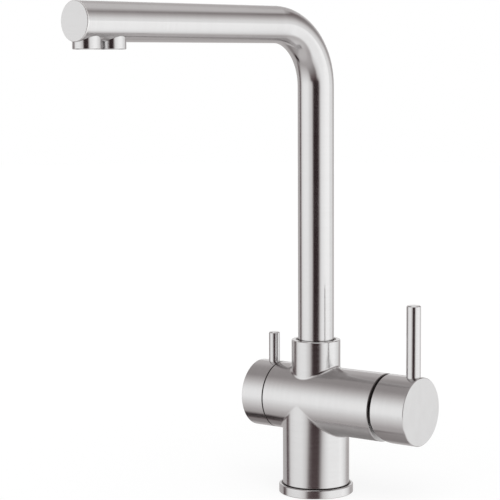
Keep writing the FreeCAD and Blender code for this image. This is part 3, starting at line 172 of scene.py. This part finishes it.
# The right wall, which reaches less far towards the back above and below level
RIGHT_END_TURN = (11.0, 32.0)
RIGHT_END_SHARE = 0.74
RIGHT_BROAD_TURN = (16.0, 46.0)
RIGHT_BROAD_SHARE = 0.26
RIGHT_PEAK_TURN = (44.0, 68.0)
RIGHT_PEAK_RISE = (-12.0, -5.0)
RIGHT_PEAK_BACK_TURN = (80.0, 94.0)
RIGHT_SIDE_TURN = (84.0, 114.0)
RIGHT_SIDE_SHARE = 0.80
RIGHT_BACK_TURN = (120.0, 146.0)
RIGHT_BACK_SHARE = 0.52
HIGH_SHIFT_RISE = (-2.0, 22.0)
HIGH_SHIFT = 20.0
LOW_SHIFT_RISE = (-16.0, -7.0)
LOW_SHIFT = 14.0
RIGHT_RISE = (0.0, 40.0)
RIGHT_HIGH_SHARE = 0.27
RIGHT_FALL = (-52.0, -37.0)
RIGHT_LOW_SHARE = 0.40

# The back wall and its strip
BACK_LEFT_TURN = (-128.0, -121.0)
BACK_RIGHT_TURN = (134.0, 146.0)
BACK_RISE = (36.0, 56.0)
BACK_HIGH_SHARE = 0.62
BACK_FALL = (-50.0, -34.0)
BACK_LOW_SHARE = 0.45
STRIP_TURN = (150.0, 162.0)
STRIP_FOOT_RISE = (2.0, 6.0)
STRIP_TOP_RISE = (18.0, 23.0)

# The worktop
WORKTOP_RISE = (-46.0, -9.0)
WORKTOP_TURN = (-128.0, -94.0)
WORKTOP_BACK_SHARE = 0.62
WORKTOP_FRONT_SHARE = 1.08
NEAR_WORKTOP_RISE = (-68.0, -52.0)
LIT_WORKTOP_TURN = (40.0, 70.0)
LIT_WORKTOP_RISE = (-50.0, -42.0)

# The dark corner
CORNER_LEFT_TURN = (-143.0, -128.0)
CORNER_RIGHT_TURN = (-109.0, -99.0)
CORNER_FOOT_RISE = (-56.6, -54.8)
CORNER_TOP_RISE = (-47.0, -43.0)
CORNER_SHARE = 0.04

# The ceiling, which begins lower on the right, and the panel overhead
CEILING_RISE = (38.0, 48.0)
CEILING_SHIFT_TURN = (40.0, 95.0)
CEILING_SHIFT = 5.0
RIGHT_CEILING_TURN = (5.0, 45.0)
BACK_CEILING_TURN = (104.0, 128.0)
OVERHEAD_RISE = (62.0, 72.0)

NONE_TO_ALL = (0.0, 1.0)

# The darker the mirrored light, the warmer it is
DEEP_TINT = (1.0, 0.64, 0.67, 1.0)
DIM_TINT = (1.0, 0.915, 0.905, 1.0)
LIT_TINT = (1.0, 0.998, 0.996, 1.0)
DEEP_TO_DIM = (0.03, 0.28)
DIM_TO_LIT = (0.20, 0.95)


# Studio
def left_wall(tree, turn, leaning, rise):
    """The soft light on the camera's left, which fades upwards and downwards."""
    broad = between(tree, turn, LEFT_SEAM_TURN, SEAM, LEFT_WALL)
    peak = between(tree, turn, LEFT_PEAK_TURN, 0.0, LEFT_WALL_PEAK)
    dimmer = between(tree, turn, LEFT_DIMMER_TURN, 1.0, LEFT_DIMMER_SHARE)
    end = between(tree, leaning, LEFT_END_TURN, 1.0, 0.0)
    upwards = between(tree, rise, LEFT_RISE, 1.0, LEFT_HIGH_SHARE)
    downwards = between(tree, rise, LEFT_FALL, LEFT_LOW_SHARE, 1.0, "LINEAR")
    return product(tree, total(tree, broad, peak), dimmer, end, upwards, downwards)


def right_wall(tree, turn, leaning, rise):
    """The brighter light on the camera's right, which fades upwards and towards the back wall."""
    end = between(tree, leaning, RIGHT_END_TURN, 0.0, RIGHT_END_SHARE)
    broad = between(tree, turn, RIGHT_BROAD_TURN, 0.0, RIGHT_BROAD_SHARE)
    peak = between(tree, turn, RIGHT_PEAK_TURN, 0.0, RIGHT_WALL_PEAK)
    high = between(tree, rise, RIGHT_PEAK_RISE)
    far_round = between(tree, turn, RIGHT_PEAK_BACK_TURN)
    peak = product(tree, peak, largest(tree, high, far_round))
    shift_up = between(tree, rise, HIGH_SHIFT_RISE, 0.0, HIGH_SHIFT, "LINEAR")
    shift_down = between(tree, rise, LOW_SHIFT_RISE, LOW_SHIFT, 0.0)
    side = between(tree, turn, RIGHT_SIDE_TURN, 1.0, RIGHT_SIDE_SHARE)
    back = between(tree, total(tree, turn, shift_up, shift_down), RIGHT_BACK_TURN, 1.0, RIGHT_BACK_SHARE)
    upwards = between(tree, rise, RIGHT_RISE, 1.0, RIGHT_HIGH_SHARE, "LINEAR")
    downwards = between(tree, rise, RIGHT_FALL, RIGHT_LOW_SHARE, 1.0)
    level = total(tree, product(tree, total(tree, end, broad), RIGHT_WALL), peak)
    return product(tree, level, product(tree, side, back), upwards, downwards)


def back_wall(tree, turn, rise):
    """The dim wall behind the tap, beyond a dark seam on either side, with a brighter strip above level."""
    left = between(tree, turn, BACK_LEFT_TURN, BACK_WALL, 0.0)
    right = between(tree, turn, BACK_RIGHT_TURN, 0.0, BACK_WALL)
    upwards = between(tree, rise, BACK_RISE, 1.0, BACK_HIGH_SHARE)
    downwards = between(tree, rise, BACK_FALL, BACK_LOW_SHARE, 1.0)
    wall = product(tree, largest(tree, left, right), upwards, downwards)
    middle = between(tree, reckon(tree, "ABSOLUTE", turn), STRIP_TURN, 0.0, BACK_STRIP)
    foot = between(tree, rise, STRIP_FOOT_RISE)
    top = between(tree, rise, STRIP_TOP_RISE, 1.0, 0.0)
    strip = product(tree, middle, product(tree, foot, top))
    return largest(tree, wall, strip)


def worktop_light(tree, turn, rise):
    """What the steel mirrors from below: a dim worktop that fades up into the dark front."""
    glow = between(tree, rise, WORKTOP_RISE, WORKTOP, DARK_FRONT, "LINEAR")
    across = between(tree, turn, WORKTOP_TURN, WORKTOP_BACK_SHARE, WORKTOP_FRONT_SHARE)
    near = between(tree, rise, NEAR_WORKTOP_RISE, NEAR_WORKTOP, 0.0)
    lit_side = between(tree, turn, LIT_WORKTOP_TURN, 0.0, LIT_WORKTOP)
    lit_low = between(tree, rise, LIT_WORKTOP_RISE, 1.0, 0.0)
    return total(tree, product(tree, glow, across), near, product(tree, lit_side, lit_low))


def dark_corner(tree, turn, rise):
    """A low dark corner behind on the left, which draws the dark line under the cross tube's left end."""
    left = between(tree, turn, CORNER_LEFT_TURN)
    right = between(tree, turn, CORNER_RIGHT_TURN, 1.0, 0.0)
    foot = between(tree, rise, CORNER_FOOT_RISE)
    top = between(tree, rise, CORNER_TOP_RISE, 1.0, 0.0)
    inside = product(tree, product(tree, left, right), product(tree, foot, top))
    return between(tree, inside, NONE_TO_ALL, 1.0, CORNER_SHARE, "LINEAR")


def ceiling_light(tree, turn, rise):
    """The ceiling, brighter over the right and the back, with a lamp panel straight overhead."""
    over_back = between(tree, turn, BACK_CEILING_TURN, 0.0, BACK_CEILING)
    over_right = between(tree, turn, RIGHT_CEILING_TURN, 0.0, RIGHT_CEILING)
    height = total(tree, rise, between(tree, turn, CEILING_SHIFT_TURN, 0.0, CEILING_SHIFT))
    ceiling = product(tree, total(tree, over_back, CEILING, over_right), between(tree, height, CEILING_RISE))
    return largest(tree, ceiling, between(tree, rise, OVERHEAD_RISE, 0.0, OVERHEAD))


def studio_light(tree, turn, rise):
    """Level of the studio's walls, worktop and ceiling, by the turn and the rise."""
    leaning = total(tree, turn, between(tree, rise, LEAN_RISE, LEAN, 0.0))
    walls = total(tree, left_wall(tree, turn, leaning, rise), right_wall(tree, turn, leaning, rise))
    level = largest(tree, walls, back_wall(tree, turn, rise), worktop_light(tree, turn, rise))
    level = product(tree, level, dark_corner(tree, turn, rise))
    return largest(tree, level, ceiling_light(tree, turn, rise))


def studio_tint(tree, light):
    """The colour of that light, from a warm dark to nearly white."""
    warm = blend_colour(tree, between(tree, light, DEEP_TO_DIM, 0.0, 1.0, "LINEAR"), DEEP_TINT, DIM_TINT)
    return blend_colour(tree, between(tree, light, DIM_TO_LIT, 0.0, 1.0, "LINEAR"), warm, LIT_TINT)


def around(tree, colour, level):
    """Light of that colour and level from all around."""
    return add(tree, "ShaderNodeBackground", inputs={"Color": colour, "Strength": level}).outputs[0]


def make_world():
    """White to the camera, an even fill on matt surfaces, and the studio's walls in gloss."""
    world = bpy.data.worlds.new("studio")
    world.use_nodes = True
    tree = world.node_tree
    tree.nodes.clear()
    direction = add(tree, "ShaderNodeTexCoord").outputs["Generated"]
    ahead, aside, above = split(tree, turned_by(tree, direction, QUARTER_TURN - CAMERA_AZIMUTH))
    turn = reckon(tree, "DEGREES", reckon(tree, "ARCTAN2", aside, ahead))
    rise = reckon(tree, "DEGREES", reckon(tree, "ARCSINE", above))
    light = studio_light(tree, turn, rise)
    path = add(tree, "ShaderNodeLightPath").outputs
    in_gloss = largest(tree, path["Is Glossy Ray"], path["Is Transmission Ray"])
    studio = around(tree, studio_tint(tree, light), light)
    on_object = blend_shader(tree, in_gloss, around(tree, WHITE, FILL_LEVEL), studio)
    shown = blend_shader(tree, path["Is Camera Ray"], on_object, around(tree, WHITE, 1.0))
    add(tree, "ShaderNodeOutputWorld", inputs={"Surface": shown})
    bpy.context.scene.world = world


# The floor. Its matt colour keeps the shadow, and its own white brings it up to the white around it.
FLOOR_COLOUR = (0.20, 0.20, 0.20, 1.0)
FLOOR_OWN_WHITE = 0.81
FLOOR_RADIUS = 4.0
FLOOR_CORNERS = 96
FLOOR_DROP = 0.0002


def pale_floor():
    """The floor's finish, matt and pale, with a white of its own to the camera alone."""
    material = bpy.data.materials.new("pale_floor")
    material.use_nodes = True
    tree = material.node_tree
    tree.nodes.clear()
    matt = add(tree, "ShaderNodeBsdfDiffuse", inputs={"Color": FLOOR_COLOUR, "Roughness": 1.0})
    to_camera = add(tree, "ShaderNodeLightPath").outputs["Is Camera Ray"]
    level = reckon(tree, "MULTIPLY", to_camera, FLOOR_OWN_WHITE)
    own_white = add(tree, "ShaderNodeEmission", inputs={"Color": WHITE, "Strength": level})
    both = add(tree, "ShaderNodeAddShader", inputs={0: matt.outputs[0], 1: own_white.outputs[0]})
    add(tree, "ShaderNodeOutputMaterial", inputs={"Surface": both.outputs[0]})
    return material


def make_floor():
    """A round floor just under the tap, which the steel doesn't mirror."""
    form = bmesh.new()
    bmesh.ops.create_circle(form, cap_ends=True, segments=FLOOR_CORNERS, radius=FLOOR_RADIUS)
    bmesh.ops.translate(form, verts=form.verts, vec=(0.0, 0.0, -FLOOR_DROP))
    mesh = bpy.data.meshes.new("floor")
    form.to_mesh(mesh)
    form.free()
    mesh.materials.append(pale_floor())
    floor = bpy.data.objects.new("floor", mesh)
    bpy.context.scene.collection.objects.link(floor)
    floor.visible_glossy = False


# The lamp, with its spread and tilt in degrees
LAMP_PLACE = (0.55, -0.75, 1.45)
LAMP_LEVEL = 0.45
LAMP_SPREAD = 40.0
LAMP_TILT = 33.0


def make_lamp():
    """A soft lamp from above the camera that gives the floor its shadow and isn't mirrored in the steel."""
    lamp = bpy.data.lights.new("soft_lamp", "SUN")
    lamp.energy = LAMP_LEVEL
    lamp.angle = math.radians(LAMP_SPREAD)
    holder = bpy.data.objects.new("soft_lamp", lamp)
    holder.location = LAMP_PLACE
    holder.rotation_euler = (math.radians(LAMP_TILT), 0.0, math.radians(CAMERA_AZIMUTH))
    bpy.context.scene.collection.objects.link(holder)
    holder.visible_glossy = False


def make_camera():
    """The photograph's camera, by its place, its azimuth, elevation and roll, and its lens."""
    azimuth = math.radians(CAMERA_AZIMUTH)
    elevation = math.radians(CAMERA_ELEVATION)
    roll = math.radians(CAMERA_ROLL)
    back = Vector((math.sin(azimuth) * math.cos(elevation),
                   -math.cos(azimuth) * math.cos(elevation),
                   math.sin(elevation)))
    level_right = Vector((math.cos(azimuth), math.sin(azimuth), 0.0))
    level_up = back.cross(level_right)
    right = math.cos(roll) * level_right + math.sin(roll) * level_up
    up = math.cos(roll) * level_up - math.sin(roll) * level_right
    lens = bpy.data.cameras.new("camera")
    lens.sensor_fit = "HORIZONTAL"
    lens.sensor_width = CAMERA_SENSOR
    lens.lens = CAMERA_LENS
    lens.clip_start = NEAREST_SEEN
    lens.clip_end = FARTHEST_SEEN
    camera = bpy.data.objects.new("camera", lens)
    bpy.context.scene.collection.objects.link(camera)
    camera.matrix_world = Matrix((
        (right.x, up.x, back.x, CAMERA_PLACE[0]),
        (right.y, up.y, back.y, CAMERA_PLACE[1]),
        (right.z, up.z, back.z, CAMERA_PLACE[2]),
        (0.0, 0.0, 0.0, 1.0)))
    bpy.context.scene.camera = camera


# How many finer layers a noise has, and how strong they are
FEW_LAYERS = 2.0
SOME_LAYERS = 3.0
MANY_LAYERS = 4.0
EVEN = 0.5
CRISP = 0.6

# A noise seldom leaves these spans round a half, so a finish changes across them
NARROW_SPAN = (0.35, 0.65)
WIDE_SPAN = (0.3, 0.7)

METAL = 1.0
NO_METAL = 0.0

# Satin steel, with the size of its smudges and the lift of its lines in metres
STEEL_LIGHT = (0.740, 0.737, 0.739, 1.0)
STEEL_DARK = (0.707, 0.702, 0.704, 1.0)
LINES_ROUGHNESS = (0.14, 0.18)
SMUDGE_ROUGHNESS = (-0.015, 0.015)
SMUDGE_SIZE = 0.022
BRUSH_LIFT = 0.0000005
# Painted shade: a dark colour, with more roughness, that stands in for shade in the joints and under the
# cross tube
PAINTED_SHADE_COLOUR = (0.17, 0.152, 0.148, 1.0)
PAINTED_SHADE_ROUGHER = 0.25
RUBBED_ROUGHER = 0.35
# A pale steel colour painted on the end cap's rim as a highlight
PAINTED_HIGHLIGHT_STEEL = (0.96, 0.958, 0.956, 1.0)

# Brush lines are about a quarter of a millimetre apart and 8 mm long, and broad ones four times that. Out
# along the spout they are longer, because there the spout's third direction is its first one again.
LINE_PITCH = 1.0 / 0.00025
LINE_LENGTH = 1.0 / 0.008
BROAD_LINES = 0.25
RUN_LENGTH = 0.05 * LINE_LENGTH
BRUSHED_ROUND_UPRIGHT = (LINE_LENGTH, LINE_LENGTH, LINE_PITCH)
BRUSHED_ROUND_ACROSS = (LINE_PITCH, LINE_LENGTH, LINE_LENGTH)
BRUSHED_ROUND_SPOUT = (LINE_PITCH, LINE_LENGTH, RUN_LENGTH)
FINE_SHARE = 0.6
BROAD_SHARE = 0.4
LINES_SHARE = 0.75
SMUDGE_SHARE = 0.25

# Where the steel's finish changes, as pairs in metres. A reach is a distance from an axis, a height is a
# place along Z, and a joint is a place along X.
# Painted shade on the base ring's top next to the trunk
RING_SHADE_REACH = (TRUNK_RADIUS + 0.0009, TRUNK_RADIUS + 0.0013)
RING_SHADE_HEIGHT = (RING_TOP - 0.0004, RING_TOP - 0.0002)
CAP_RIM_REACH = (TUBE_RADIUS - 0.0004, TUBE_RADIUS - 0.0002)
KNOB_JOINT = (-FILTER_FACE - KNOB_GAP - 0.0003, -FILTER_FACE - KNOB_GAP - 0.0001)
CROSS_REACH = (CROSS_RADIUS + 0.0002, CROSS_RADIUS + 0.0012)
# Painted shade where the spout enters the neck and where the trunk stands on the ring
NECK_SHADE_REACH = (TUBE_RADIUS + 0.0014, TUBE_RADIUS + 0.0019)
NECK_SHADE_HEIGHT = (NECK_TOP - 0.0003, NECK_TOP - 0.0001)
TRUNK_SHADE_HEIGHT = (RING_TOP + 0.0004, RING_TOP + 0.0008)
KNOB_SIDE_JOINT = (-FILTER_FACE, -FILTER_FACE + 0.0003)
HUB_SIDE_JOINT = (MIXER_FACE - 0.0005, MIXER_FACE - 0.0003)

# The rest is on the cross tube, with heights from its axis. Painted shade fills the hub's joint from the
# middle up.
HUB_SHADE_HEIGHT = (-0.016, -0.001)
HUB_SHADE_SHARE = 0.88
HUB_HALF = (0.006, 0.014)
COARSE_HEIGHT = (-0.0132, -0.0092)
# Painted shade on the underside towards the hub, darker towards the bottom, stopping short of the hub's face
UNDERSIDE_SHADE_HEIGHT = (-0.0178, -0.0112)
UNDERSIDE_SHADE_END = (MIXER_FACE - 0.0013, MIXER_FACE - 0.0008)
UNDERSIDE_SHADE_SHARE = 0.40


# Finishes
def new_finish(name):
    """An empty material, its node tree and the place on the piece."""
    material = bpy.data.materials.new(name)
    material.use_nodes = True
    tree = material.node_tree
    tree.nodes.clear()
    place = add(tree, "ShaderNodeTexCoord").outputs["Object"]
    return material, tree, place


def noise(tree, place, size, layers, crispness=EVEN):
    """Noise whose lumps are about that size, in metres."""
    made = add(tree, "ShaderNodeTexNoise", {"noise_dimensions": "3D"},
               {"Vector": place, "Scale": 1.0 / size, "Detail": layers, "Roughness": crispness})
    return made.outputs["Fac"]


def drawn_out_noise(tree, place, scale, layers, crispness=EVEN):
    """Noise drawn out to lines by a scale on each axis, so that its own size is one."""
    scaled = add(tree, "ShaderNodeMapping", {"vector_type": "POINT"}, {"Vector": place, "Scale": scale})
    return noise(tree, scaled.outputs["Vector"], 1.0, layers, crispness)


def finish_with(tree, colour, roughness, height, lift, metallic):
    """Ends the finish in its shader, with the relief's height given in metres of lift."""
    relief = add(tree, "ShaderNodeBump", inputs={"Strength": 1.0, "Distance": lift, "Height": height})
    shader = add(tree, "ShaderNodeBsdfPrincipled",
                 inputs={"Base Color": colour, "Roughness": roughness, "Metallic": metallic,
                         "Normal": relief.outputs["Normal"]})
    add(tree, "ShaderNodeOutputMaterial", inputs={"Surface": shader.outputs[0]})


def from_axis(tree, first, second):
    """Distance from an axis, by the two places across it."""
    squares = total(tree, reckon(tree, "POWER", first, 2.0), reckon(tree, "POWER", second, 2.0))
    return reckon(tree, "SQRT", squares)


def along_spout(tree, place):
    """The three numbers of a place: out along the spout, across it, and up."""
    return split(tree, turned_by(tree, place, QUARTER_TURN + SPOUT_TURN))


def brushed(tree, place, grain, painted_shade=None, rubbed=None, painted_highlight=None):
    """Satin steel with fine and broad brush lines along the grain, and faint smudges.

    The rest are shares of the surface: dark painted shade, as in a joint; steel rubbed coarse; and a pale
    painted highlight.
    """
    broad_grain = tuple(BROAD_LINES * part for part in grain)
    fine = drawn_out_noise(tree, place, grain, SOME_LAYERS, CRISP)
    broad = drawn_out_noise(tree, place, broad_grain, FEW_LAYERS)
    smudges = noise(tree, place, SMUDGE_SIZE, FEW_LAYERS)
    lines = total(tree, product(tree, fine, FINE_SHARE), product(tree, broad, BROAD_SHARE))
    tone = total(tree, product(tree, lines, LINES_SHARE), product(tree, smudges, SMUDGE_SHARE))
    colour = blend_colour(tree, between(tree, tone, NARROW_SPAN), STEEL_DARK, STEEL_LIGHT)
    rough_lines = between(tree, lines, WIDE_SPAN, *LINES_ROUGHNESS)
    rough_smudges = between(tree, smudges, WIDE_SPAN, *SMUDGE_ROUGHNESS)
    roughness = total(tree, rough_lines, rough_smudges)
    # Painted shade: a darker colour and more roughness
    if painted_shade is not None:
        colour = blend_colour(tree, painted_shade, colour, PAINTED_SHADE_COLOUR)
        roughness = reckon(tree, "MULTIPLY_ADD", painted_shade, PAINTED_SHADE_ROUGHER, roughness)
    if rubbed is not None:
        roughness = reckon(tree, "MULTIPLY_ADD", rubbed, RUBBED_ROUGHER, roughness)
    # Painted highlight: a paler steel colour
    if painted_highlight is not None:
        colour = blend_colour(tree, painted_highlight, colour, PAINTED_HIGHLIGHT_STEEL)
    finish_with(tree, colour, roughness, fine, BRUSH_LIFT, METAL)


def steel_turned_upright():
    """The rods and the outlets, brushed round an upright axis."""
    material, tree, place = new_finish("satin_steel_turned_upright")
    brushed(tree, place, BRUSHED_ROUND_UPRIGHT)
    return material


def steel_turned_across():
    """The hub, brushed round the cross tube's axis."""
    material, tree, place = new_finish("satin_steel_turned_across")
    brushed(tree, place, BRUSHED_ROUND_ACROSS)
    return material


def steel_for_ring():
    """The base ring, brushed round, with a dark line of painted shade where the trunk stands on it."""
    material, tree, place = new_finish("satin_steel_base_ring")
    x, y, z = split(tree, place)
    # Painted shade on the ring's top next to the trunk
    near_trunk = between(tree, from_axis(tree, x, y), RING_SHADE_REACH, 1.0, 0.0)
    on_top = between(tree, z, RING_SHADE_HEIGHT)
    brushed(tree, place, BRUSHED_ROUND_UPRIGHT, product(tree, near_trunk, on_top))
    return material


def steel_for_end_cap():
    """The spout's end, brushed level, with its rim rubbed coarse and painted pale as a highlight."""
    material, tree, place = new_finish("satin_steel_end_disc")
    _, across, z = along_spout(tree, place)
    height = reckon(tree, "SUBTRACT", z, SPOUT_HEIGHT)
    rim = between(tree, from_axis(tree, across, height), CAP_RIM_REACH)
    # The rim is rubbed rougher and gets a pale painted highlight
    brushed(tree, place, BRUSHED_ROUND_UPRIGHT, rubbed=rim, painted_highlight=rim)
    return material


def steel_for_knob():
    """The filter knob, brushed as the cross tube is, with painted shade in its joint with the casting."""
    material, tree, place = new_finish("satin_steel_filter_knob")
    x, _, _ = split(tree, place)
    # Painted shade at the knob's end against the casting
    brushed(tree, place, BRUSHED_ROUND_ACROSS, between(tree, x, KNOB_JOINT))
    return material


def casting_painted_shade(tree, x, y, z, height):
    """Painted shade in the casting's joints with the spout, the base ring, the hub and the filter knob."""
    near_tube = between(tree, from_axis(tree, x, y), NECK_SHADE_REACH, 1.0, 0.0)
    at_spout = product(tree, near_tube, between(tree, z, NECK_SHADE_HEIGHT))
    at_ring = between(tree, z, TRUNK_SHADE_HEIGHT, 1.0, 0.0)
    # Painted shade in the hub's joint, strongest at the top
    upper = between(tree, height, HUB_SHADE_HEIGHT, 0.0, HUB_SHADE_SHARE)
    at_hub = product(tree, between(tree, x, HUB_SIDE_JOINT), upper)
    at_knob = between(tree, x, KNOB_SIDE_JOINT, 1.0, 0.0)
    return largest(tree, at_spout, at_ring, at_hub, at_knob)


def steel_for_casting():
    """The casting, brushed round its upright axis and round the cross tube.

    The underside of the cross tube's half towards the hub is coarse, where the brush reaches badly, and
    carries painted shade that darkens towards the bottom.
    """
    material, tree, place = new_finish("satin_steel_casting")
    x, y, z = split(tree, place)
    height = reckon(tree, "SUBTRACT", z, CROSS_HEIGHT)
    on_cross = between(tree, from_axis(tree, height, y), CROSS_REACH, 1.0, 0.0)
    along = blend_number(tree, on_cross, z, x)
    across = blend_number(tree, on_cross, x, z)
    followed = add(tree, "ShaderNodeCombineXYZ", inputs={"X": along, "Y": y, "Z": across})
    shade_in_joints = casting_painted_shade(tree, x, y, z, height)
    hub_half = product(tree, on_cross, between(tree, x, HUB_HALF))
    coarse = product(tree, hub_half, between(tree, height, COARSE_HEIGHT, 1.0, 0.0))
    # Painted shade on the underside towards the hub, darker towards the bottom
    low = between(tree, height, UNDERSIDE_SHADE_HEIGHT, UNDERSIDE_SHADE_SHARE, 0.0)
    painted_underside_shade = product(tree, hub_half, low, between(tree, x, UNDERSIDE_SHADE_END, 1.0, 0.0))
    painted_shade = largest(tree, shade_in_joints, painted_underside_shade)
    brushed(tree, followed.outputs["Vector"], BRUSHED_ROUND_ACROSS, painted_shade, rubbed=coarse)
    return material


def steel_for_spout():
    """The spout, brushed round its tube: the lines follow it up, round the bend and out along the run."""
    material, tree, place = new_finish("satin_steel_spout")
    out_along, across, z = along_spout(tree, place)
    bend_foot = SPOUT_HEIGHT - SPOUT_BEND
    climbed = largest(tree, reckon(tree, "SUBTRACT", z, bend_foot), 0.0)
    left_over = largest(tree, reckon(tree, "SUBTRACT", SPOUT_BEND, out_along), 0.0)
    swept = product(tree, reckon(tree, "ARCTAN2", climbed, left_over), SPOUT_BEND)
    straight_up = reckon(tree, "MINIMUM", z, bend_foot)
    straight_out = largest(tree, reckon(tree, "SUBTRACT", out_along, SPOUT_BEND), 0.0)
    travel = total(tree, straight_up, swept, straight_out)
    followed = add(tree, "ShaderNodeCombineXYZ", inputs={"X": travel, "Y": across, "Z": out_along})
    brushed(tree, followed.outputs["Vector"], BRUSHED_ROUND_SPOUT)
    return material


# Finishes inside the tap
BRIGHT_MARK_SIZE = 0.0008
BRIGHT_DARK = (0.68, 0.68, 0.68, 1.0)
BRIGHT_LIGHT = (0.76, 0.76, 0.76, 1.0)
BRIGHT_ROUGHNESS = (0.12, 0.22)
BRIGHT_LIFT = 0.000002


def bright_steel():
    """Screws, pins, the clip and the dome, in bright steel with small handling marks."""
    material, tree, place = new_finish("bright_steel")
    marks = noise(tree, place, BRIGHT_MARK_SIZE, MANY_LAYERS, CRISP)
    colour = blend_colour(tree, between(tree, marks, WIDE_SPAN), BRIGHT_DARK, BRIGHT_LIGHT)
    roughness = between(tree, marks, WIDE_SPAN, *BRIGHT_ROUGHNESS)
    finish_with(tree, colour, roughness, marks, BRIGHT_LIFT, METAL)
    return material


BRASS_MARK_SCALE = (2500.0, 400.0, 400.0)
BRASS_STAIN_SIZE = 0.006
BRASS_STAIN_SPAN = (0.35, 0.7)
BRASS_CLEAN = (0.76, 0.60, 0.32, 1.0)
BRASS_STAINED = (0.62, 0.46, 0.24, 1.0)
BRASS_ROUGHNESS = (0.24, 0.36)
BRASS_LIFT = 0.000004


def machined_brass():
    """Turned brass with tool marks and brown stains."""
    material, tree, place = new_finish("machined_brass")
    marks = drawn_out_noise(tree, place, BRASS_MARK_SCALE, SOME_LAYERS, CRISP)
    stain = noise(tree, place, BRASS_STAIN_SIZE, SOME_LAYERS)
    colour = blend_colour(tree, between(tree, stain, BRASS_STAIN_SPAN), BRASS_CLEAN, BRASS_STAINED)
    roughness = between(tree, marks, WIDE_SPAN, *BRASS_ROUGHNESS)
    finish_with(tree, colour, roughness, marks, BRASS_LIFT, METAL)
    return material


CERAMIC_SPECK_SIZE = 0.0006
CERAMIC_CREAM = (0.88, 0.86, 0.81, 1.0)
CERAMIC_PALE = (0.93, 0.92, 0.88, 1.0)
CERAMIC_ROUGHNESS = (0.16, 0.26)
CERAMIC_LIFT = 0.000003


def lapped_ceramic():
    """The four discs, in pale ceramic with a fine speck."""
    material, tree, place = new_finish("lapped_ceramic")
    speck = noise(tree, place, CERAMIC_SPECK_SIZE, SOME_LAYERS, CRISP)
    colour = blend_colour(tree, between(tree, speck, WIDE_SPAN), CERAMIC_CREAM, CERAMIC_PALE)
    roughness = between(tree, speck, WIDE_SPAN, *CERAMIC_ROUGHNESS)
    finish_with(tree, colour, roughness, speck, CERAMIC_LIFT, NO_METAL)
    return material


RUBBER_SPECK_SIZE = 0.0009
RUBBER_BLACK = (0.035, 0.035, 0.036, 1.0)
RUBBER_GREY = (0.065, 0.064, 0.062, 1.0)
RUBBER_ROUGHNESS = (0.55, 0.72)
RUBBER_LIFT = 0.00001


def seal_rubber():
    """Seals and rings, in black rubber with a matt speck."""
    material, tree, place = new_finish("seal_rubber")
    speck = noise(tree, place, RUBBER_SPECK_SIZE, MANY_LAYERS, CRISP)
    colour = blend_colour(tree, between(tree, speck, WIDE_SPAN), RUBBER_BLACK, RUBBER_GREY)
    roughness = between(tree, speck, WIDE_SPAN, *RUBBER_ROUGHNESS)
    finish_with(tree, colour, roughness, speck, RUBBER_LIFT, NO_METAL)
    return material


PLASTIC_SPECK_SIZE = 0.0007
PLASTIC_SPECK_CRISPNESS = 0.55
PLASTIC_SPECK_SHARE = 0.4
PLASTIC_FLOW_SIZE = 0.012
PLASTIC_FLOW_SHARE = 0.6
PLASTIC_ROUGHNESS = (0.38, 0.50)
PLASTIC_LIFT = 0.000008
WHITE_PLASTIC_DARK = (0.80, 0.80, 0.78, 1.0)
WHITE_PLASTIC_LIGHT = (0.87, 0.87, 0.85, 1.0)
GREY_PLASTIC_DARK = (0.40, 0.41, 0.42, 1.0)
GREY_PLASTIC_LIGHT = (0.49, 0.50, 0.51, 1.0)


def moulded_plastic(name, dark, light):
    """Plastic with a fine speck and the broad marks of its flow in the mould."""
    material, tree, place = new_finish(name)
    speck = noise(tree, place, PLASTIC_SPECK_SIZE, SOME_LAYERS, PLASTIC_SPECK_CRISPNESS)
    flow = noise(tree, place, PLASTIC_FLOW_SIZE, FEW_LAYERS)
    tone = total(tree, product(tree, speck, PLASTIC_SPECK_SHARE), product(tree, flow, PLASTIC_FLOW_SHARE))
    colour = blend_colour(tree, between(tree, tone, NARROW_SPAN), dark, light)
    roughness = between(tree, speck, WIDE_SPAN, *PLASTIC_ROUGHNESS)
    finish_with(tree, colour, roughness, speck, PLASTIC_LIFT, NO_METAL)
    return material


def give(finish, *names):
    """Puts the finish in the material slots of each of those CAD nodes."""
    for name in names:
        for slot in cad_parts[name].material_slots:
            slot.material = finish


def finish_outside():
    """Satin steel on everything that the photograph shows."""
    give(steel_for_casting(), "body_casting")
    give(steel_for_spout(), "spout_tube")
    give(steel_for_ring(), "base_ring")
    give(steel_turned_upright(), "lever_rod", "filter_rod", "mixed_outlet_nozzle", "filter_outlet_nozzle")
    give(steel_turned_across(), "mixer_hub")
    give(steel_for_knob(), "filter_knob")
    give(steel_for_end_cap(), "spout_end_cap")


def finish_inside():
    """Bright steel, brass, ceramic, rubber and plastic on the working pieces."""
    give(bright_steel(), "stem_pivot_pin", "hub_grub_screw", "knob_grub_screw", "spindle_clip",
         "spout_retaining_screw", "dome_cover")
    give(machined_brass(), "cartridge_nut", "filter_valve_body", "filter_nipple", "filter_spindle",
         "spout_spigot", "cartridge_stem")
    give(lapped_ceramic(), "mixer_fixed_disc", "mixer_moving_disc", "filter_fixed_disc", "filter_moving_disc")
    give(seal_rubber(), "base_gasket", "cartridge_port_seals", "case_oring", "filter_seat_seal",
         "valve_body_oring", "nipple_oring", "spindle_orings", "spigot_orings", "mixed_aerator_washer",
         "filter_former_washer")
    white_plastic = moulded_plastic("white_plastic", WHITE_PLASTIC_DARK, WHITE_PLASTIC_LIGHT)
    give(white_plastic, "cartridge_base", "cartridge_case", "cartridge_rotor", "disc_carrier",
         "filter_inner_tube", "filter_tube_elbow", "spout_glide_ring")
    grey_plastic = moulded_plastic("grey_plastic", GREY_PLASTIC_DARK, GREY_PLASTIC_LIGHT)
    give(grey_plastic, "mixed_aerator", "filter_flow_former")


finish_outside()
finish_inside()
make_world()
make_floor()
make_lamp()
make_camera()
bpy.context.scene.view_settings.view_transform = "Standard"
